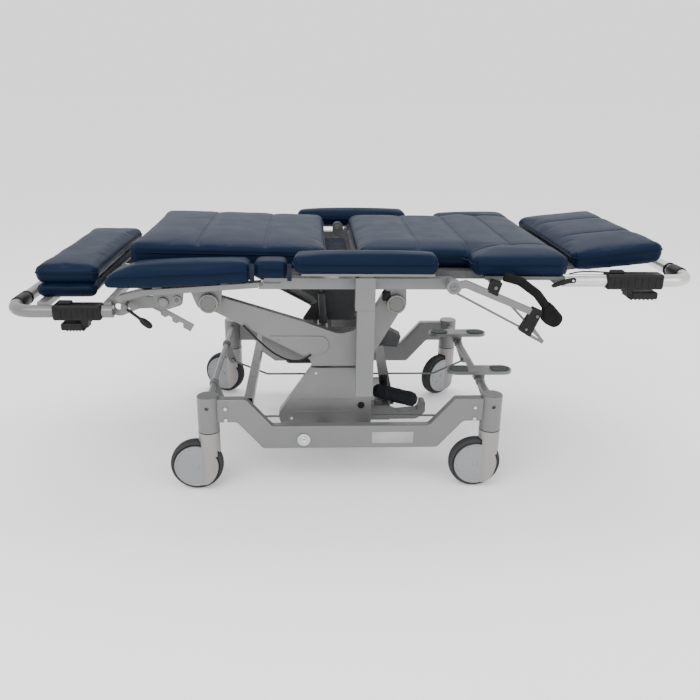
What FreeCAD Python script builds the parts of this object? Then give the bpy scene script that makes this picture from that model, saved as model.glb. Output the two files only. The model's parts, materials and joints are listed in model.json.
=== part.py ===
import FreeCAD, Part
import Sketcher
import math
import os
from FreeCAD import Placement, Rotation, Vector

# Convertible stretcher trolley: a wheeled base, a lift column, a V-shaped yoke and a padded deck that folds to a chair.
#
# Frame: +X towards the head end, +Y towards the far side, +Z up. The origin is on the floor under the centre of
# the wheelbase. Lengths are millimetres. Near-side pieces are drawn first and the far side mirrors them in Y = 0.

DIMENSIONS = {
    "wheel_radius": 75, "wheel_width": 37, "wheel_trail": 38, "wheel_rounding": 9, "axle_radius": 6,
    "stem_x": 399.5, "stem_y": 357, "stem_radius": 30, "stem_top": 285, "stem_bottom": 180.4,
    "fork_top": 180, "fork_shoulder": 105, "fork_gap": 39, "hub_cover_radius": 62, "hub_cover_depth": 2.5,
    "tyre_clearance": 2.5, "foot_far_swivel": -20, "head_far_swivel": 36,
    "kingpin_radius": 8, "kingpin_length": 56, "running_gap": 0.05, "assembly_gap": 0.3,
    "rail_inner": 342, "rail_thickness": 30, "rail_rounding": 6, "rail_low": 125, "rail_height": 70, "rail_rise": 82,
    "rail_top_bend": 294, "rail_low_bend": 222, "crossbeam_height": 20,
    "brake_height": 262, "brake_radius": 8, "brake_sleeve_radius": 11, "brake_half_length": 345,
    "brake_arm_x": 20, "brake_arm_z": -52, "brake_pin_radius": 3, "brake_rod_height": 160,
    "brake_rod_radius": 3.2, "pedal_length": 198, "pedal_width": 58, "pedal_thickness": 10, "pedal_y": 180,
    "column_x": -15, "column_wall": 5, "outer_column_x": 120, "outer_column_y": 100, "column_step": 12,
    "outer_column_top": 330, "stage_top": 345, "inner_top": 372, "column_bottom": 152,
    "tilt_x": -77, "tilt_z": 412, "tilt_radius": 15,
    "cover_inner": 241, "cover_depth": 34, "sheet": 4, "bush_wall": 4,
    "yoke_inner": 265, "yoke_depth": 25, "overlay": 3, "hub_tube_radius": 20, "hub_foot_x": -388, "hub_foot_z": 541,
    "hub_head_x": 120, "hub_head_z": 540, "hub_cap_radius": 26, "hub_cap_inner": 322, "hub_cap_depth": 10,
    "frame_inner": 320, "frame_thickness": 30, "frame_bottom": 587, "frame_top": 617, "bracket_thickness": 6,
    "knee_x": -509, "knee_z": 543, "hip_x": -20, "hip_z": 640, "pin_radius": 8,
    "rack_pivot_x": -545, "rack_pivot_z": 531, "latch_x": -604, "latch_z": 540,
    "leg_plate_inner": 313, "leg_plate_thickness": 6.4, "bar_radius": 17, "bar_y": 336, "bar_bend": 62,
    "foot_bar_z": 521, "foot_bar_start": -640, "foot_bar_end": -915, "head_bar_z": 610, "head_bar_start": 570,
    "head_bar_end": 934, "back_lever_x": 588, "back_lever_z": 618, "handset_height": 42, "handset_depth": 44,
    "pad_half_width": 286, "foot_pad_half_width": 299, "wing_outer": 376, "wing_start": 318, "back_end": 582,
    "pad_base": 628, "seat_top_foot": 704, "seat_top_head": 690, "back_pad_top": 684, "wing_top": 702,
    "seat_start": -606, "seat_end": -64,
    "back_start": 8, "arm_inner": 325, "arm_width": 75, "arm_start": -162, "arm_end": 226, "arm_bottom": 638,
    "arm_top": 700, "post_x": 34, "post_width": 40, "post_depth": 21.8, "sleeve_width": 48, "sleeve_bottom": 288,
    "sleeve_joint": 536, "sleeve_top": 625, "side_pad_inner": 300, "side_pad_width": 76,
    "head_pivot_x": 597, "head_pivot_z": 622, "side_rail_x": 262, "side_rail_z": 607, "side_rail_inner": 388,
    "side_rail_depth": 16, "handle_radius": 12,
}

doc = FreeCAD.newDocument("stretcher_trolley")
sheet = doc.addObject("Spreadsheet::Sheet", "dims")
for row, (alias, value) in enumerate(DIMENSIONS.items(), start=1):
    sheet.set(f"A{row}", alias)
    sheet.set(f"B{row}", str(value))
    sheet.setAlias(f"B{row}", alias)
doc.recompute()

SUB_PARTS = []
Y_AXIS = Vector(0, 1, 0)
ALONG_Y = Rotation(Vector(1, 0, 0), -90)


def size(alias):
    return float(sheet.get(alias))


def bind(feature, **values):
    """Sets sizes: text is an expression on the sheet, a number is set as it is."""
    for name, value in values.items():
        if isinstance(value, str):
            feature.setExpression(name, value)
        else:
            setattr(feature, name, value)
    return feature


def keep(feature, label):
    feature.Label = label
    SUB_PARTS.append(feature)
    return feature


def box(x, y, z, rounding=0):
    """A box from three (low, high) pairs, with all its edges rounded when a radius is given."""
    feature = doc.addObject("Part::Box", "block")
    bind(feature, Length=x[1] - x[0], Width=y[1] - y[0], Height=z[1] - z[0])
    feature.Placement.Base = Vector(x[0], y[0], z[0])
    if rounding:
        rounded = doc.addObject("Part::Fillet", "rounded_block")
        rounded.Base = feature
        rounded.Edges = [(edge, rounding, rounding) for edge in range(1, 13)]
        return rounded
    return feature


def cylinder(radius, height, base, rotation=Rotation()):
    feature = doc.addObject("Part::Cylinder", "rod")
    bind(feature, Radius=radius, Height=height)
    feature.Placement = Placement(Vector(*base), rotation)
    return feature


def y_cylinder(radius, x, z, start, length):
    return cylinder(radius, length, (x, start, z), ALONG_Y)


def fuse(*features):
    feature = doc.addObject("Part::MultiFuse", "joined")
    feature.Shapes = list(features)
    return feature


def cut(base, *tools):
    feature = doc.addObject("Part::Cut", "cut")
    feature.Base = base
    feature.Tool = tools[0] if len(tools) == 1 else fuse(*tools)
    return feature


def common(first, second):
    feature = doc.addObject("Part::MultiCommon", "overlap")
    feature.Shapes = [first, second]
    return feature


def mirror(source):
    """The same piece on the far side."""
    feature = doc.addObject("Part::Mirroring", "far_side")
    feature.Source = source
    feature.Base = Vector(0, 0, 0)
    feature.Normal = Y_AXIS
    return feature


def group(*features):
    """Pieces of one sub-part that stand apart from each other."""
    feature = doc.addObject("Part::Compound", "group")
    feature.Links = list(features)
    return feature


def both_sides(source):
    return group(source, mirror(source))


def rounded_rims(feature, radius, ends=(0, 1)):
    """A rod with the circular edges at its chosen ends rounded, counted from its base."""
    doc.recompute()
    circles = [(edge.CenterOfMass.distanceToPoint(feature.Placement.Base), number)
               for number, edge in enumerate(feature.Shape.Edges, start=1) if edge.Curve.TypeId == "Part::GeomCircle"]
    rims = [number for _, number in sorted(circles)]
    rounded = doc.addObject("Part::Fillet", "rounded_rod")
    rounded.Base = feature
    rounded.Edges = [(rims[end], radius, radius) for end in ends]
    return rounded


def rounded_faces(feature, radius):
    """A plate with the edges of its two flat faces rounded."""
    doc.recompute()
    rims = [number for number, edge in enumerate(feature.Shape.Edges, start=1)
            if edge.BoundBox.YLength < 1e-3]
    rounded = doc.addObject("Part::Fillet", "rounded_plate")
    rounded.Base = feature
    rounded.Edges = [(rim, radius, radius) for rim in rims]
    return rounded


def turned(feature, x, y, degrees):
    """A finished piece turned about the upright line through (x, y)."""
    feature.Placement = Placement(Vector(0, 0, 0), Rotation(Vector(0, 0, 1), degrees), Vector(x, y, 0))
    return feature


def corner_arc(before, corner, after, radius):
    """Where a corner's tangent arc starts, its middle and where it ends."""
    toward_before = (before - corner).normalize()
    toward_after = (after - corner).normalize()
    half_angle = toward_before.getAngle(toward_after) / 2
    reach = radius / math.tan(half_angle)
    middle = (toward_before + toward_after).normalize()
    centre = corner + middle * (radius / math.sin(half_angle))
    return corner + toward_before * reach, centre - middle * radius, corner + toward_after * reach


def rounded_edges(corners, closed=True):
    """Straight edges with tangent arcs, from (x, y, radius) corners."""
    points = [Vector(corner[0], corner[1], 0) for corner in corners]
    radii = [corner[2] if len(corner) > 2 else 0 for corner in corners]
    count = len(points)
    stations = []
    for index, point in enumerate(points):
        inside = closed or 0 < index < count - 1
        if radii[index] and inside:
            stations.append(corner_arc(points[index - 1], point, points[(index + 1) % count], radii[index]))
        else:
            stations.append((point, None, point))
    edges = []
    for index, (start, middle, end) in enumerate(stations):
        if middle is not None:
            edges.append(Part.Arc(start, middle, end))
        if index < count - 1 or closed:
            following = stations[(index + 1) % count][0]
            assert (following - end).dot(points[(index + 1) % count] - points[index]) > -1e-6, f"tight corner {index}"
            if (following - end).Length > 1e-6:
                edges.append(Part.LineSegment(end, following))
    return edges


def inset(corners, distance):
    """The same anticlockwise or clockwise outline moved inwards, for folded sheet trays."""
    points = [Vector(corner[0], corner[1], 0) for corner in corners]
    turn = sum(points[i - 1].x * points[i].y - points[i].x * points[i - 1].y for i in range(len(points)))
    side = 1 if turn > 0 else -1
    moved = []
    for index, point in enumerate(points):
        incoming = (point - points[index - 1]).normalize()
        outgoing = (points[(index + 1) % len(points)] - point).normalize()
        normal_in = Vector(-incoming.y, incoming.x, 0) * side
        normal_out = Vector(-outgoing.y, outgoing.x, 0) * side
        bisector = (normal_in + normal_out).normalize()
        shifted = point + bisector * (distance / bisector.dot(normal_in))
        convex = (incoming.x * outgoing.y - incoming.y * outgoing.x) * side > 0
        radius = corners[index][2] + (-distance if convex else distance)
        moved.append((shifted.x, shifted.y, max(radius, 1.0)))
    return moved


def origin_plane(body, role):
    return next(feature for feature in body.Origin.OriginFeatures if feature.Role == role)


def side_sketch(body, corners, holes=(), offset=0):
    """A sketch on the body's upright X-Z plane: an outline and round holes given as (x, z, radius expression)."""
    sketch = body.newObject("Sketcher::SketchObject", "outline")
    sketch.AttachmentSupport = [(origin_plane(body, "XZ_Plane"), "")]
    sketch.MapMode = "FlatFace"
    sketch.AttachmentOffset = Placement(Vector(0, 0, offset), Rotation())
    sketch.addGeometry(rounded_edges(corners), False)
    for x, z, radius in holes:
        circle = sketch.addGeometry(Part.Circle(Vector(x, z, 0), Vector(0, 0, 1), 5.0), False)
        constraint = sketch.addConstraint(Sketcher.Constraint("Radius", circle, 5.0))
        sketch.setExpression(f"Constraints[{constraint}]", radius)
    return sketch


def plate(corners, inner, thickness, holes=()):
    """A near-side plate drawn from the side, from y = -inner outwards, with round holes (x, z, radius)."""
    body = doc.addObject("PartDesign::Body", "plate")
    pad = body.newObject("PartDesign::Pad", "thickness")
    pad.Profile = side_sketch(body, corners, holes)
    bind(pad, Length=thickness)
    body.Placement.Base = Vector(0, -inner, 0)
    return body


def tray(corners, inner, depth, holes, overlay=None):
    """A folded-sheet plate hollowed from its inner face, with a bushed hole (x, z, radius) at each pivot."""
    body = plate(corners, inner, depth)
    doc.recompute()
    solid_volume = body.Shape.Volume
    pocket = body.newObject("PartDesign::Pocket", "hollow")
    pocket.Profile = side_sketch(body, inset(corners, size("sheet")))
    pocket.Reversed = True
    bind(pocket, Length=f"{depth} - dims.sheet")
    doc.recompute()
    share = pocket.Shape.Volume / solid_volume
    assert 0.15 < share < 0.6, f"the tray kept {share:.2f} of its solid"
    if overlay:
        raised = body.newObject("PartDesign::Pad", "raised")
        raised.Profile = side_sketch(body, overlay, offset=size("yoke_depth") - 1)
        bind(raised, Length="dims.overlay + 1")
    bushes = [y_cylinder(f"{radius} + dims.bush_wall", x, z, -inner, depth) for x, z, radius in holes]
    for bush in bushes:
        doc.recompute()
        bush.Placement.Base = Vector(bush.Placement.Base.x, -inner - float(bush.Height), bush.Placement.Base.z)
    bores = [y_cylinder(radius, x, z, -inner - 100, 200) for x, z, radius in holes]
    return cut(fuse(body, *bushes), *bores)


def swept_bar(corners, radius, rotation, origin):
    """A round bar swept along a flat path of straight runs and tangent arcs."""
    placement = Placement(Vector(*origin), rotation)
    path = doc.addObject("Sketcher::SketchObject", "bar_path")
    path.addGeometry(rounded_edges(corners, closed=False), False)
    path.Placement = placement
    start = Vector(corners[0][0], corners[0][1], 0)
    heading = Vector(corners[1][0], corners[1][1], 0) - start
    profile = doc.addObject("Sketcher::SketchObject", "bar_section")
    circle = profile.addGeometry(Part.Circle(Vector(0, 0, 0), Vector(0, 0, 1), 10.0), False)
    constraint = profile.addConstraint(Sketcher.Constraint("Radius", circle, 10.0))
    profile.setExpression(f"Constraints[{constraint}]", radius)
    profile.Placement = placement.multiply(Placement(start, Rotation(Vector(0, 0, 1), heading)))
    doc.recompute()
    sweep = doc.addObject("Part::Sweep", "bar")
    sweep.Sections = [profile]
    sweep.Spine = (path, [f"Edge{number}" for number in range(1, len(path.Shape.Edges) + 1)])
    sweep.Solid = True
    sweep.Frenet = False
    return sweep


def strut(start, end, radius):
    """A straight round rod between two points."""
    run = Vector(*end) - Vector(*start)
    return cylinder(radius, run.Length, start, Rotation(Vector(0, 0, 1), run))


def link_outline(start, end, half_width):
    """A flat link with round ends, seen from the side."""
    along = (Vector(end[0], end[1], 0) - Vector(start[0], start[1], 0)).normalize()
    across = Vector(-along.y, along.x, 0) * half_width
    tip = along * half_width
    first, last = Vector(start[0], start[1], 0) - tip, Vector(end[0], end[1], 0) + tip
    ring = (first + across, first - across, last - across, last + across)
    return [(point.x, point.y, half_width * 0.999) for point in ring]


# --- wheeled base ---------------------------------------------------------------------------------

def base_rail():
    """A rail that dips between its two raised ends, cut to fit round the caster sockets."""
    top_bend, low_bend = size("rail_top_bend"), size("rail_low_bend")
    low, height, rise = size("rail_low"), size("rail_height"), size("rail_rise")
    end, shift = size("stem_x") - 20, 26
    upper = [(-end, low + height + rise), (-top_bend, low + height + rise, 14), (-low_bend, low + height, 14)]
    lower = [(-low_bend - shift, low, 14), (-top_bend - shift, low + rise, 14), (-end, low + rise)]
    corners = upper + [(-x, *rest) for x, *rest in reversed(upper)]
    corners += [(-x, *rest) for x, *rest in reversed([c for c in lower])]
    corners += lower
    rail = rounded_faces(plate(corners, size("rail_inner"), "dims.rail_thickness"), size("rail_rounding"))
    sockets = [cylinder("dims.stem_radius + dims.assembly_gap", 200, (x, -size("stem_y"), 150))
               for x in (-size("stem_x"), size("stem_x"))]
    return cut(rail, *sockets)


def caster_socket(x):
    """An upright tube end: pin bore below, brake shaft bore inside, blind access hole outside."""
    y = -size("stem_y")
    height = size("stem_top") - size("stem_bottom")
    tube = cylinder("dims.stem_radius", height, (x, y, size("stem_bottom")))
    domed = rounded_rims(tube, 2.5, ends=(1,))
    pin_bore = cylinder("dims.kingpin_radius + dims.running_gap", 60, (x, y, size("stem_bottom") - 1))
    shaft_bore = y_cylinder("dims.brake_radius + dims.running_gap", x, size("brake_height"), y, 31)
    shaft_bore.Placement.Base.y = y + 6
    access = y_cylinder(5.5, x, 256, y - 31, 10)
    return cut(domed, pin_bore, shaft_bore, access)


def fork(x, y):
    """A caster fork: a round crown that splits into two legs with wheel covers, a king pin and an axle."""
    axle_x, wheel = x - size("wheel_trail"), size("wheel_radius")
    leg_low = 8
    column = cylinder("dims.stem_radius", size("fork_top") - leg_low, (x, y, leg_low))
    reach = fuse(y_cylinder("dims.hub_cover_radius", axle_x, wheel, y - 35, 70),
                 box((x - 31, x + 31), (y - 35, y + 35), (size("fork_shoulder"), size("fork_top") + 10)))
    legs = common(column, reach)
    covers = y_cylinder("dims.hub_cover_radius", axle_x, wheel, y - size("fork_gap") / 2 - size("hub_cover_depth"),
                        "dims.fork_gap + 2 * dims.hub_cover_depth")
    slot = y_cylinder("dims.wheel_radius + dims.tyre_clearance", axle_x, wheel, y - size("fork_gap") / 2, "dims.fork_gap")
    hollow = cut(fuse(legs, covers), slot)
    pin = cylinder("dims.kingpin_radius", "dims.kingpin_length", (x, y, size("fork_top") - 2))
    axle = y_cylinder("dims.axle_radius", axle_x, wheel, y - size("fork_gap") / 2 - 1, "dims.fork_gap + 2")
    return fuse(hollow, pin, axle)


def wheel(x, y):
    axle_x, radius = x - size("wheel_trail"), size("wheel_radius")
    disc = y_cylinder("dims.wheel_radius", axle_x, radius, y - size("wheel_width") / 2, "dims.wheel_width")
    tyre = rounded_rims(disc, size("wheel_rounding"))
    bore = y_cylinder("dims.axle_radius + dims.running_gap", axle_x, radius, y - 30, 60)
    return cut(tyre, bore)


def base_crossbeams():
    """Two low beams and a column plate between the rails, and a square tube across the foot end."""
    half = size("rail_inner") - 0.2
    low = size("rail_low") + 1
    top = low + size("crossbeam_height")
    beams = [box((x, x + 40), (-half, half), (low, top)) for x in (-95, 25)]
    column_plate = box((-110, 150), (-110, 110), (top, size("column_bottom")))
    foot_tube = cut(box((-300, -275), (-half, half), (246, 271)), box((-297.5, -277.5), (-half - 1, half + 1), (248.5, 268.5)))
    return fuse(*beams, column_plate, foot_tube)


def lower_cover():
    """A folded sheet cover beside the column, open towards the inside, with a round plug hole."""
    corners = [(64, 154, 12), (64, 334, 5), (-110, 334, 6), (-209, 190, 26), (-200, 154, 16)]
    return both_sides(tray(corners, size("cover_inner"), "dims.cover_depth", [(34, 217, "4.5")]))


def drive_case():
    """Gear housing on the head-end beam with a hooked bracket that carries the padded boot."""
    housing = box((65, 132), (-190, -140), (127, 177), 6)
    hook = [(126, 128, 3), (214, 128, 24), (240, 150, 16), (240, 184, 5), (224, 186, 5), (218, 156, 14), (150, 150, 10),
            (126, 160, 4)]
    saddle = box((84, 104), (-175, -155), (170, 188))
    return fuse(housing, saddle, plate(hook, 146, 36))


def base_fasteners():
    """Rail screws, the large round bolt on each rail and the plugs of the lower covers."""
    face = size("rail_inner") + size("rail_thickness")
    screws = [y_cylinder(5, x, z, -face - 3, 3) for x in (-350, 350) for z in (250, 216)]
    bolt = y_cylinder(18, -133, 155, -face - 5, 5)
    cover_face = size("cover_inner") + size("cover_depth")
    plug = y_cylinder(10, 34, 217, -cover_face - 2.5, 2.5)
    return both_sides(fuse(*screws, bolt, plug))


# --- lift column -----------------------------------------------------------------------------------

def column_tube(shrink, bottom, top):
    x, wall = size("column_x"), size("column_wall")
    half_x = (size("outer_column_x") - shrink) / 2
    half_y = (size("outer_column_y") - shrink) / 2
    outside = box((x - half_x, x + half_x), (-half_y, half_y), (bottom, top))
    inside = box((x - half_x + wall, x + half_x - wall), (-half_y + wall, half_y - wall), (bottom - 1, top + 1))
    return cut(outside, inside)


def inner_column():
    """The last column stage with its head: a plate, a bearing block for the tilt shaft and a control housing."""
    tube = column_tube(2 * size("column_step"), size("column_bottom") + 8, size("inner_top") + 2)
    head = box((-107, 33), (-45, 45), (size("inner_top"), size("inner_top") + 12))
    tilt_x, tilt_z = size("tilt_x"), size("tilt_z")
    block = box((tilt_x - 28, tilt_x + 28), (-45, 45), (size("inner_top") + 10, tilt_z))
    lug = y_cylinder(28, tilt_x, tilt_z, -45, 90)
    bore = y_cylinder("dims.tilt_radius + dims.running_gap", tilt_x, tilt_z, -60, 120)
    arm = box((20, 118), (-44, -24), (size("inner_top") + 2, size("inner_top") + 10))
    housing = plate([(100, 382, 3), (126, 382, 3), (172, 358, 4), (160, 322, 4), (100, 326, 4)], 14, 46)
    return cut(fuse(tube, head, block, lug, arm, housing), bore)


# --- brakes ----------------------------------------------------------------------------------------

BRAKE_ARMS = (-222, 128)


def brake_arms(x, height, hole):
    """Flat arms that hang from a brake shaft, one for each link rod."""
    pin_x, pin_z = x + size("brake_arm_x"), height + size("brake_arm_z")
    arms = []
    for arm_y in BRAKE_ARMS:
        arm = plate(link_outline((x, height), (pin_x, pin_z), 12.5), 0, 6, holes=[(pin_x, pin_z, hole)])
        arm.Placement.Base.y = arm_y + 6
        arms.append(arm)
    return arms


def brake_shaft(x, sleeve_radius, hole):
    height, half = size("brake_height"), size("brake_half_length")
    shaft = y_cylinder("dims.brake_radius", x, height, -half, 2 * half)
    sleeve = y_cylinder(sleeve_radius, x, height, -318, 636)
    collars_on_shaft = [y_cylinder(14, x, height, y, 12) for y in (-212, 140)]
    return fuse(shaft, sleeve, *collars_on_shaft, *brake_arms(x, height, hole))


def pedal(y):
    """A double-ended foot pedal that stands on the head-end brake shaft."""
    x, height = size("stem_x"), size("brake_height")
    half_width = size("pedal_width") / 2
    reach, low = size("pedal_length") / 2 - half_width, height + 22
    middle = box((x - reach, x + reach), (y - half_width, y + half_width), (low, low + size("pedal_thickness")))
    ends = [cylinder("dims.pedal_width / 2", "dims.pedal_thickness", (end, y, low)) for end in (x - reach, x + reach)]
    treadle = fuse(middle, *ends)
    treadle.Refine = True
    stem = box((x - 16, x + 16), (y - 14, y + 14), (height, height + 24))
    return fuse(treadle, stem)


def brake_rod(y):
    """A link rod that dips under the yoke between the two brake shafts, with a pin at each end."""
    pin_x, pin_z = size("stem_x") + size("brake_arm_x"), size("brake_height") + size("brake_arm_z")
    foot_x = -size("stem_x") + size("brake_arm_x")
    low = size("brake_rod_height")
    corners = [(foot_x, pin_z), (-262, low, 30), (312, low, 30), (pin_x, pin_z)]
    rod = swept_bar(corners, "dims.brake_rod_radius", Rotation(Vector(1, 0, 0), 90), (0, y, 0))
    ends = (foot_x, pin_x)
    eyes = [y_cylinder(7, x, pin_z, y - 3.6, 7.2) for x in ends]
    pins = [y_cylinder("dims.brake_pin_radius", x, pin_z, y, 11) for x in ends]
    return fuse(rod, *eyes, *pins)


# --- yoke and deck frame ---------------------------------------------------------------------------

def yoke():
    """A V-shaped side frame of folded sheet: a long foot-end arm, a short head-end arm and a raised overlay."""
    corners = [(-420, 568, 20), (-352, 546, 20), (-141, 480, 60), (-31, 440, 60), (8, 452, 20), (62, 512, 30),
               (92, 568, 20), (148, 568, 20), (146, 526, 12), (70, 390, 24), (56, 356, 10), (10, 346, 24),
               (-110, 346, 5), (-116, 366, 8), (-373, 504, 20), (-420, 518, 20)]
    overlay = [(-240, 436, 4), (-77, 435, 24.5), (-50, 410, 24.5), (-77, 385, 24.5), (-122, 374, 4)]
    hubs = [(size("hub_foot_x"), size("hub_foot_z"), "dims.hub_tube_radius + dims.assembly_gap"),
            (size("hub_head_x"), size("hub_head_z"), "dims.hub_tube_radius + dims.assembly_gap")]
    return tray(corners, size("yoke_inner"), "dims.yoke_depth", hubs, overlay)


def hub_tube(x, z):
    """A hollow cross tube that ends in a wide cap at each side."""
    half = size("hub_cap_inner") + size("hub_cap_depth")
    tube = y_cylinder("dims.hub_tube_radius", x, z, -half, 2 * half)
    caps = [y_cylinder("dims.hub_cap_radius", x, z, y, "dims.hub_cap_depth") for y in (-half, size("hub_cap_inner"))]
    return cut(fuse(tube, *caps), y_cylinder("dims.hub_tube_radius - 3", x, z, -half + 12, 2 * half - 24))


def cross_tubes():
    """The two deck cross tubes and the tilt shaft between the yokes."""
    inner = size("yoke_inner") - 0.2
    tilt_shaft = y_cylinder("dims.tilt_radius", size("tilt_x"), size("tilt_z"), -inner, 2 * inner)
    return fuse(hub_tube(size("hub_foot_x"), size("hub_foot_z")), hub_tube(size("hub_head_x"), size("hub_head_z")), tilt_shaft)


def hub_bracket(corners, x, z):
    thickness = size("bracket_thickness")
    return plate(corners, size("frame_inner") - thickness, "dims.bracket_thickness + 1",
                 holes=[(x, z, "dims.hub_tube_radius + dims.assembly_gap")])


def seat_rail():
    """The straight seat rail with its hub bracket, backrest hinge ear and side-rail pivot."""
    low, high, inner = size("frame_bottom"), size("frame_top"), size("frame_inner")
    outline = [(-252, low), (270, low, 14), (278, high, 14), (-235, high)]
    rail = plate(outline, inner, "dims.frame_thickness")
    hub_x, hub_z = size("hub_head_x"), size("hub_head_z")
    bracket = hub_bracket([(94, 612, 3), (146, 612, 3), (150, 516, 24), (90, 516, 24)], hub_x, hub_z)
    hip_x, hip_z = size("hip_x"), size("hip_z")
    ear = plate([(hip_x - 17, hip_z + 17, 16), (hip_x + 17, hip_z + 17, 16), (hip_x + 17, 592), (hip_x - 17, 592)],
                296, "dims.bracket_thickness")
    foot = box((hip_x - 17, hip_x + 17), (-inner - 1, -300), (592, 615))
    hinge_pin = y_cylinder("dims.pin_radius", hip_x, hip_z, -299, 15)
    outer = inner + size("frame_thickness")
    pivot_x, pivot_z = size("side_rail_x"), size("side_rail_z")
    boss = y_cylinder(16, pivot_x, pivot_z, -size("side_rail_inner") + 0.4, size("side_rail_inner") - outer)
    pivot_pin = y_cylinder("dims.axle_radius", pivot_x, pivot_z, -402, 402 - outer + 5)
    slot = plate([(-238, 603, 2.9), (-192, 603, 2.9), (-192, 609, 2.9), (-238, 609, 2.9)], outer - 4, 8)
    return fuse(cut(rail, slot), bracket, ear, foot, hinge_pin, boss, pivot_pin)


def side_tube():
    """The foot-end side tube that slopes down from the seat rail, with its hub and knee brackets."""
    inner = size("frame_inner")
    outline = [(-252.8, 590), (-437, 576, 200), (-556, 567, 60), (-618, 548, 12), (-630, 558, 4), (-622, 566, 10),
               (-560, 583, 60), (-437, 591, 200), (-244.2, 605)]
    tube = plate(outline, inner, "dims.frame_thickness")
    hub_x, hub_z = size("hub_foot_x"), size("hub_foot_z")
    bracket = hub_bracket([(-440, 584, 3), (-350, 590, 3), (-356, 530, 26), (-388, 506, 26), (-420, 530, 26)],
                          hub_x, hub_z)
    knee_x, knee_z = size("knee_x"), size("knee_z")
    knee = plate([(-537, 577, 3), (-452, 584, 3), (-458, 536, 14), (-494, 524, 14), (-526, 524, 16), (-534, 548, 8)],
                 inner, "dims.bracket_thickness")
    pin = y_cylinder("dims.pin_radius", knee_x, knee_z, -332, 24)
    cap = y_cylinder(15, knee_x, knee_z, -332, 7)
    ring = y_cylinder(12, -472, 550, -331, 6)
    pad_blocks = [box((x, x + 26), (-346, -324), (low, high))
                  for x, low, high in ((-532, 575, 589.5), (-352, 588, 600.5))]
    return fuse(tube, bracket, knee, pin, cap, ring, *pad_blocks)


def seat_pan():
    """The board under the seat cushion on beams that reach the side members."""
    top, inner = size("pad_base") - 1.5, size("frame_inner") - 0.2
    board = box((-580, -76), (-280, 280), (616, top))
    beams = [box((-232, -202), (-inner, inner), (596, 617)), box((-106, -76), (-inner, inner), (596, 617)),
             box((-566, -542), (-299, 299), (580, 617)), box((-566, -542), (-inner, inner), (571, 588))]
    hip_board = box((-77, 4), (-268, 268), (599, 605))
    return fuse(board, *beams, hip_board)


def arm_sleeve():
    """The guide for an armrest post: a wide bracket on the rail over a long square sleeve."""
    centre, half, inner = size("post_x"), size("sleeve_width") / 2, size("frame_inner") + size("frame_thickness")
    bottom, joint, top = size("sleeve_bottom"), size("sleeve_joint"), size("sleeve_top")
    lower = box((centre - half, centre + half), (-inner - 30, -inner), (bottom, joint))
    upper = box((centre - half - 5, centre + half), (-inner - 31.5, -inner), (joint, top))
    half_x = size("post_width") / 2 + 0.1
    bore = box((centre - half_x, centre + half_x), (-inner - 26, -inner - 4), (bottom - 5, top + 5))
    return cut(fuse(lower, upper), bore)


def motor_box():
    corners = [(-252, 428, 6), (-253, 377, 8), (-217, 350, 10), (-141, 350, 10), (-120, 362, 8), (-120, 428, 6)]
    return plate(corners, 105, 150)


def back_actuator():
    """An upright web under the seat pan and the gas spring beside it."""
    web = plate([(-148, 595.8), (-150, 530, 4), (-106, 505, 4), (-92, 488, 4), (-112, 474, 4), (-140, 432, 4), (20, 432, 4),
                 (20, 595.8)], 118, 6)
    foot, top = Vector(-76, -160, 442), Vector(-86, -160, 595.6)
    middle = foot + (top - foot) * 0.55
    spring = fuse(strut(tuple(foot), tuple(middle), 11), strut(tuple(middle), tuple(top), 5),
                  box((-98, -74), (-168, -152), (575, 595.6), 3), box((-89, -63), (-168, -118.5), (434, 456), 3))
    return fuse(web, spring)


def held_cable(points, radius):
    """A cable of straight runs joined by tangent arcs, each as large as its runs allow."""
    route = [Vector(*point) for point in points]
    edges, last = [], route[0]
    for before, corner, after in zip(route, route[1:], route[2:]):
        shorter = min((corner - before).Length, (after - corner).Length)
        turn = (corner - before).getAngle(after - corner)
        bend = 0.45 * shorter / math.tan(turn / 2)
        start, middle, end = corner_arc(before, corner, after, bend)
        edges += [Part.LineSegment(last, start).toShape(), Part.Arc(start, middle, end).toShape()]
        last = end
        print(f"cable bend radius {bend:.1f}")
    edges.append(Part.LineSegment(last, route[-1]).toShape())
    wire = Part.Wire(edges)
    section = Part.Wire(Part.makeCircle(radius, route[0], route[1] - route[0]))
    tube = wire.makePipeShell([section], True, True)
    print(f"cable volume over section times length {tube.Volume / (math.pi * radius ** 2 * wire.Length):.4f}")
    feature = doc.addObject("Part::Feature", "cable")
    feature.Shape = tube
    return feature


# --- cushions --------------------------------------------------------------------------------------

def cushion(corners, half_width, rounding):
    """A full-width cushion drawn from the side, with its two end faces rounded over."""
    return rounded_faces(plate(corners, -half_width, 2 * half_width), rounding)


def seat_pad():
    """The seat cushion, a little thicker towards the foot end."""
    start, end, base = size("seat_start"), size("seat_end"), size("pad_base")
    corners = [(start + 2, base, 20), (start, size("seat_top_foot"), 24), (end, size("seat_top_head"), 24),
               (end - 2, base, 20)]
    return cushion(corners, size("pad_half_width") + 2, 16)


def side_pads():
    """The long bolster and the short one beside the seat cushion."""
    inner, width = size("side_pad_inner"), size("side_pad_width")
    corners = [(-668, 592, 11), (-628, 634, 26), (-560, 658, 60), (-268, 669, 20), (-268, 610, 14), (-401, 600, 60),
               (-548, 591, 60)]
    long_pad = rounded_faces(plate(corners, inner, "dims.side_pad_width"), 10)
    short_pad = box((-262, -172), (-inner - width, -inner - 2), (619, 670), 14)
    return fuse(long_pad, short_pad)


# --- armrests --------------------------------------------------------------------------------------

def arm_post():
    """A flat armrest bar on a square post that slides in the sleeve."""
    centre, half = size("post_x"), size("post_width") / 2
    inner = size("frame_inner") + size("frame_thickness") + 4.1
    post = box((centre - half, centre + half), (-inner - size("post_depth"), -inner), (size("sleeve_bottom") + 3, 632))
    bar = box((-137, 214), (-385, -345), (630.5, size("arm_bottom") - 0.5), 2)
    return fuse(post, bar)


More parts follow.
